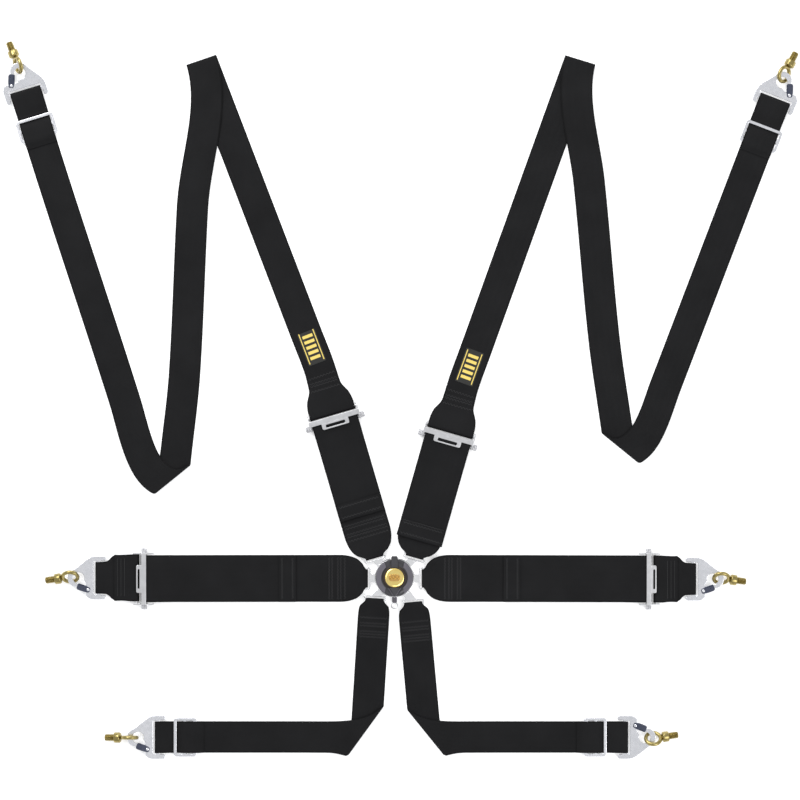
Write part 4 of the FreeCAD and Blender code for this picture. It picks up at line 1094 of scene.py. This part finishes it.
def knob():
    """The rotor's knob: a dished disc with grips left and right, a lever at the top and a pointer."""
    shells = Shells()
    base = [(18.9, 15.6), (18.9, 29.6), (19.6, 30.5), (22.6, 30.5), (23.6, 30.0), (24.1, 28.8),
            (24.2, 27.2), (23.6, 25.8), (22.9, 24.0), (22.8, 19.5), (23.2, 17.4), (24.5, 16.6),
            (24.5, 15.2), (22.2, 5.4), (22.2, 5.1), (18.9, 5.1)]
    shells.lathe(base, 128, Matrix(), axis_x=False)
    lever = [(-5.25, 15.5, 0.5), (5.25, 15.5, 0.5), (5.25, 35.0, 2.4), (-5.25, 35.0, 2.4)]
    lever = plate_mesh([rounded(lever)], 5.2, 0.9)
    shells.add_mesh(lever, raised(24.1))
    pointer = plate_mesh([rounded([(-8.6, -16.3, 1.2), (0, -31.6, 1.0), (8.6, -16.3, 1.2)])], 3.2, 0.8)
    shells.add_mesh(pointer, raised(24.9))
    finish_piece(shells, "knob_body", KNOB, "rotor", ("rotor_knob",))
    # The grips take the lighter copy of the knob coating: painted highlight on them.
    grips = Shells()
    for middle in (0, 180):
        outer = arc(0, 0, 30.0, middle - 58, middle + 58, 30)
        inner = arc(0, 0, 21.4, middle + 50, middle - 50, 24)
        grips.add_mesh(plate_mesh([outer + inner], 4.6, 1.2), raised(23.4))
    # Thin lighter strips beside the pointer: painted highlight along its edges.
    for side in (-1, 1):
        edge = [(side * 9.4, -16.6, 0.4), (side * 10.8, -16.6, 0.4),
                (side * 1.6, -31.2, 0.4), (side * 0.3, -31.2, 0.4)][::side]
        edge = plate_mesh([rounded(edge)], 2.2, 0.4)
        grips.add_mesh(edge, raised(25.0))
    finish_piece(grips, "knob_grips", GRIP_HIGHLIGHT, "rotor")
    # A dark ring in the knob's dish just outside the cap: painted shadow cast by the cap's rim, not a
    # coloured part.
    recess = Shells()
    shadow_bowl = [(22.6, 15.5), (22.6, 19.6), (23.9, 19.2), (24.9, 17.8), (24.9, 15.5)]
    recess.lathe(shadow_bowl, 96, Matrix(), axis_x=False)
    finish_piece(recess, "knob_recess", CAP_SHADOW, "rotor")


def cap():
    """The round cap: a bright face with a rolled rim, and a plain badge with three small rings."""
    shells = Shells()
    rim = [(24.5, 0.0), (24.5, 15.5), (26.6, 15.5), (27.4, 15.1),
           (27.8, 14.2), (27.6, 13.2), (27.0, 12.6), (27.0, 0.0)]
    shells.lathe(rim, 96, Matrix(), axis_x=False)
    finish_piece(shells, "cap_rim", GOLD, "rotor", ("knob_cap",))
    badge = Shells()
    plate = plate_mesh([rectangle(-9.4, -5.6, 9.4, 5.6, 5, 10)], 0.9, 0.3)
    badge.add_mesh(plate, raised(27.3))
    finish_piece(badge, "cap_badge", AMBER, "rotor")
    marks = Shells()
    lie_flat = Matrix.Rotation(math.pi / 2, 4, "X")
    for x in (-5.6, 0, 5.6):
        marks.ring(1.9, 0.5, Matrix.Translation((x, 0, 27.75)) @ lie_flat, 32, 8)
    finish_piece(marks, "cap_rings", DARK_GOLD, "rotor")


def housing():
    """The cover, as turned bright metal."""
    shells = Shells()
    cover = [(8.05, 27.0), (8.05, 31.5), (8.5, 32.0), (15.6, 32.0), (17.4, 31.4), (18.3, 30.2),
             (18.5, 28.8), (18.5, 6.2), (16.5, 6.2), (16.5, 27.0)]
    shells.lathe(cover, 128, Matrix(), axis_x=False)
    finish_piece(shells, "housing_cover", HOUSING, "buckle", ("buckle_cover",))


def release_eye():
    shells = Shells()
    place = Matrix.Translation((0, -46, 4.1)) @ Matrix.Rotation(math.pi / 2, 4, "X")
    shells.ring(4.9, 1.1, place, 48, 14)
    finish_piece(shells, "release_ring", SATIN, "buckle", ("release_eye",))
    neck = Shells()
    stem = [(-4, -41.6, 2.0), (4, -41.6, 2.0), (4, -28, 0.6), (-4, -28, 0.6)]
    stem = plate_mesh([rounded(stem)], 2.6, 0.5)
    neck.add_mesh(stem, raised(4.1))
    # The neck takes the same lighter copy of the knob coating: painted highlight.
    finish_piece(neck, "release_neck", GRIP_HIGHLIGHT, "buckle")


# ---------------------------------------------------------------- adjusters, slides and hooks

def adjuster(name):
    place = adjuster_place(name)
    bar_x = SHOULDER_SLEEVE if name in SHOULDERS else LAP_SLEEVE
    body = name + "_adjuster"
    shells = Shells()
    for side in (-1, 1):
        middle = side * 41.0
        low = min(bar_x, 0) - (5.0 if bar_x < 0 else 0.0)
        if bar_x > 0:
            outline = [(1.0, 14.5, 1.6), (-0.5, 11.0, 2.0), (-6.0, 8.0, 2.5), (-6.0, 3.0, 3.0),
                       (-3.0, 0.4, 2.0), (bar_x + 2, 0.4, 4.8), (bar_x + 5, 5.4, 4.0),
                       (bar_x + 2, 10.3, 4.8), (11.5, 11.0, 1.0), (10.8, 14.5, 1.6)]
        else:
            outline = [(-5.0, 14.5, 1.6), (-6.0, 10.0, 2.0), (low, 9.6, 4.2), (low - 0.1, 5.4, 4.0),
                       (bar_x - 2, 0.4, 4.4), (2.0, 0.4, 3.5), (6.0, 4.9, 2.0), (16.0, 5.4, 1.6),
                       (16.0, 10.8, 2.2), (6.0, 11.0, 2.0), (3.8, 14.5, 1.6)]
        cheek = plate_mesh([rounded(outline)], 2.8, 0.55)
        stand = Matrix.Translation((0, middle, 0)) @ Matrix.Rotation(math.pi / 2, 4, "X")
        shells.add_mesh(cheek, place @ stand)
    span = 42.4
    low, high, reach = (2.4, 10.8, -7.4) if bar_x > 0 else (-4.5, 3.5, -12.5)
    bridge = plate_mesh([rectangle(low, -span, high, span, 1)], 2.2, 0.6)
    shells.add_mesh(bridge, place @ raised(13.5))
    start, end = reach + 2.4, low - 2.6
    tab = plate_mesh([
        rounded([(reach, -22.5, 3.0), (low + 0.5, -22.5, 1.0), (low + 0.5, 22.5, 1.0), (reach, 22.5, 3.0)]),
        rectangle(start, -16, end, 16, 1.5),
    ], 2.0, 0.55)
    shells.add_mesh(tab, place @ raised(13.4))
    bar = [(-40.0, 3.4), (40.0, 3.4)]
    cross = Matrix.Translation((bar_x, 0, SLEEVE_BAR[0])) @ Matrix.Rotation(math.pi / 2, 4, "Z")
    shells.lathe(bar, 32, place @ cross)
    finish_piece(shells, name + "_adjuster_plates", SATIN, body,
                 (name + "_adjuster_frame",))
    knurl = Shells()
    left_end = [(-49.5, 3.6), (-49.1, 4.4), (-48.6, 4.8), (-43.4, 4.8), (-42.9, 4.2)]
    profile = left_end + [(-along, radius) for along, radius in reversed(left_end)]
    cross = raised(ROLLER[0]) @ Matrix.Rotation(math.pi / 2, 4, "Z")
    knurl.lathe(profile, 40, place @ cross)
    finish_piece(knurl, name + "_adjuster_roller", KNURLED, body,
                 (name + "_adjuster_bar",))


def slide(name):
    back = SLIDES[name]
    place = hook_ground(name) @ Matrix.Translation((-back, 0, 4.8))
    half = 31.5
    outline = rectangle(-35, -half, 2.5, half, 5)
    slots = [rectangle(low, -26.5, high, 26.5, 2) for low, high in ((-13, -2.5), (-28.5, -18))]
    shells = Shells()
    shells.add_mesh(plate_mesh([outline, *slots], 3.0, 1.0, 4), place)
    finish_piece(shells, name + "_slide_plate", ZINC, name + "_slide",
                 (name + "_slide",))


def hook_outline():
    """The hook's edge: ears beside the webbing, sloping shoulders, round nose, and a mouth on one side."""
    slope = (35.0 - 14.475) / (39.0 - 13.0)
    mouth = -35.0 + (20.0 - 13.0) * slope
    back = [(-3.0, -27.8, 1.0), (-12.0, -27.8, 2.5), (-12.0, -35.0, 3.5), (13.0, -35.0, 28.0)]
    lip = [(20.0, mouth, 0.8), (20.0, -8.5, 1.5), (23.4, -3.0, 0)]
    eye = [(x, y, 0) for x, y in arc(32.0, 0.0, 9.0, 199, -93, 44)]
    nose = [(x, y, 0) for x, y in arc(35.0, 0.0, 15.0, -77, 75, 30)]
    front = [(13.0, 35.0, 28.0), (-12.0, 35.0, 3.5), (-12.0, 27.8, 2.5), (-3.0, 27.8, 1.0)]
    return rounded(back + lip + eye + [(31.5, -14.6, 0)] + nose + front)


def hook(name):
    place = hook_place(name)
    slot_edge = rectangle(3.0, -27, 8.0, 27, 1.5)
    hole = arc(17, -19, 2.1, 0, 360, 20)[:-1]
    shells = Shells()
    shells.add_mesh(plate_mesh([hook_outline(), slot_edge, hole], 3.5, 0.8, 4), place)
    finish_piece(shells, name + "_hook_plate", ZINC, name + "_hook",
                 (name + "_hook",))


def gate(name):
    place = gate_place(name)
    shells = Shells()
    side = rounded([(-3.5, -4.2, 3.0), (5, -5.6, 3.0), (18.5, -5.6, 3.0),
                    (18.5, 4.8, 2.5), (5, 4.8, 3.0), (-3.5, 3.6, 3.0)])
    for z in (2.55, -2.55):
        shells.add_mesh(plate_mesh([side], 1.0, 0.25), place @ raised(z))
    web = plate_mesh([rectangle(9.2, 2.6, 16.2, 4.0, 0.4)], 6.1, 0.3)
    shells.add_mesh(web, place)
    finish_piece(shells, name + "_gate_channel", BLUED, name + "_gate",
                 (name + "_gate",))
    pin = Shells()
    foot = [(-3.6, 0.9), (-3.55, 1.8), (-3.2, 2.3), (-3.1, 2.3), (-3.1, 2.0)]
    head = [(-along, radius) for along, radius in reversed(foot)]
    pin.lathe(foot + head, 24, place, axis_x=False)
    finish_piece(pin, name + "_gate_rivet", ZINC, name + "_gate")


def eye_bolt(name):
    """Ring, flared neck, round collar and a stem with a real screw thread."""
    place = eye_place(name)
    shells = Shells()
    shells.ring(12.0, 3.1, place, 72, 24)
    collar = [(13.9, 3.6), (14.2, 4.5), (14.9, 6.4), (15.8, 7.9), (16.6, 8.4),
              (17.2, 8.5), (24.2, 8.5), (24.9, 8.2), (25.2, 7.7), (25.2, 5.2)]
    shells.lathe(collar, 48, place)
    pitch = 1.27
    sides = 36
    start, end = 21.6, 41.0
    count = int((end - start) / (pitch / 8))
    points = []
    for row in range(count + 1):
        x = start + (end - start) * row / count
        taper = max(0.0, x - 40.0) * 0.8
        for step in range(sides):
            phase = (x / pitch - step / sides) % 1.0
            tooth = abs(phase * 2 - 1)
            radius = 5.55 - 0.72 * max(0.0, min(1.0, tooth * 1.3 - 0.15)) - taper
            angle = 2 * math.pi * step / sides
            points.append((x, radius * math.cos(angle), radius * math.sin(angle)))
    shells.add(points, tube_faces(count + 1, sides) + tube_ends(count + 1, sides), place)
    finish_piece(shells, name + "_eye", YELLOW_ZINC, name + "_eye", (name + "_eye_bolt",),
                 50)


# ---------------------------------------------------------------- CAD nodes that stay

STAY = {
    "buckle_back_plate": HOUSING,
    "tongue_guide": HOUSING,
    "cover_rivets": ZINC,
    "ejector_springs": SPRING,
    "lifter_spring": SPRING,
    "rotor_return_spring": SPRING,
    "cam_spindle": INNER,
    "lift_cam": INNER,
    "lifter_plate": INNER,
    "latch_bolts": INNER,
}


def dress_nodes():
    for node, material in STAY.items():
        item = frame["nodes"][node]
        item.data.materials.clear()
        item.data.materials.append(material)
        if "spring" in node:
            continue
        bevel = item.modifiers.new("edges", "BEVEL")
        bevel.width = 0.0003
        bevel.segments = 2
        bevel.limit_method = "ANGLE"
        bevel.angle_limit = math.radians(40)


# ---------------------------------------------------------------- floor, light and camera

def stage():
    mesh = bpy.data.meshes.new("floor")
    reach = 8.0
    corners = [(-reach, -reach, 0), (reach, -reach, 0), (reach, reach, 0), (-reach, reach, 0)]
    mesh.from_pydata(corners, [], [(0, 1, 2, 3)])
    floor = bpy.data.objects.new("floor", mesh)
    bpy.context.scene.collection.objects.link(floor)
    material, tree, shader = new_material("pale_floor")
    cloud = noise_node(tree, object_space(tree), 3)
    link(tree, blend_colours(tree, cloud, (0.95, 0.95, 0.95), (0.97, 0.97, 0.97)),
         shader.inputs["Base Color"])
    put(shader, {"Roughness": 0.9, "Emission Color": (1, 1, 1, 1), "Emission Strength": 0.35})
    mesh.materials.append(material)
    floor.location.z = -0.0002


def lamp(name, place, aim, size, power):
    data = bpy.data.lights.new(name, "AREA")
    data.energy = power
    data.size = size
    item = bpy.data.objects.new(name, data)
    item.location = place
    item.rotation_mode = "QUATERNION"
    item.rotation_quaternion = (Vector(aim) - Vector(place)).to_track_quat("-Z", "Y")
    bpy.context.scene.collection.objects.link(item)


def lights_and_camera():
    world = bpy.data.worlds.new("studio")
    world.use_nodes = True
    put(world.node_tree.nodes["Background"], {"Color": (0.97, 0.98, 1.0, 1), "Strength": 0.75})
    bpy.context.scene.world = world
    bpy.context.scene.view_settings.view_transform = "Standard"
    lamp("key", (-1.6, 2.2, 2.6), (0, 0.3, 0), 1.6, 60)
    lamp("fill", (2.0, -1.0, 2.4), (0, 0.3, 0), 1.8, 34)
    lamp("rim", (0.0, 2.9, 1.4), (0, 0.3, 0), 1.2, 22)
    data = bpy.data.cameras.new("camera")
    data.lens = 166.7
    data.sensor_width = 36.0
    camera = bpy.data.objects.new("camera", data)
    camera.location = (0.0089, 0.2867, 6.0)
    bpy.context.scene.collection.objects.link(camera)
    bpy.context.scene.camera = camera


# ---------------------------------------------------------------- everything

def build():
    for name in SHOULDERS:
        lower_shoulder(name)
        upper_shoulder(name)
    for name in LAPS:
        lap_webbing(name)
        lap_anchor(name)
    for name in CROTCHES:
        crotch_webbing(name)
    for name in HEADS:
        tongue(name)
        hook(name)
        gate(name)
        eye_bolt(name)
    for name in SHOULDERS + LAPS:
        adjuster(name)
    for name in SLIDES:
        slide(name)
    housing()
    knob()
    cap()
    release_eye()
    dress_nodes()
    stage()
    lights_and_camera()


build()
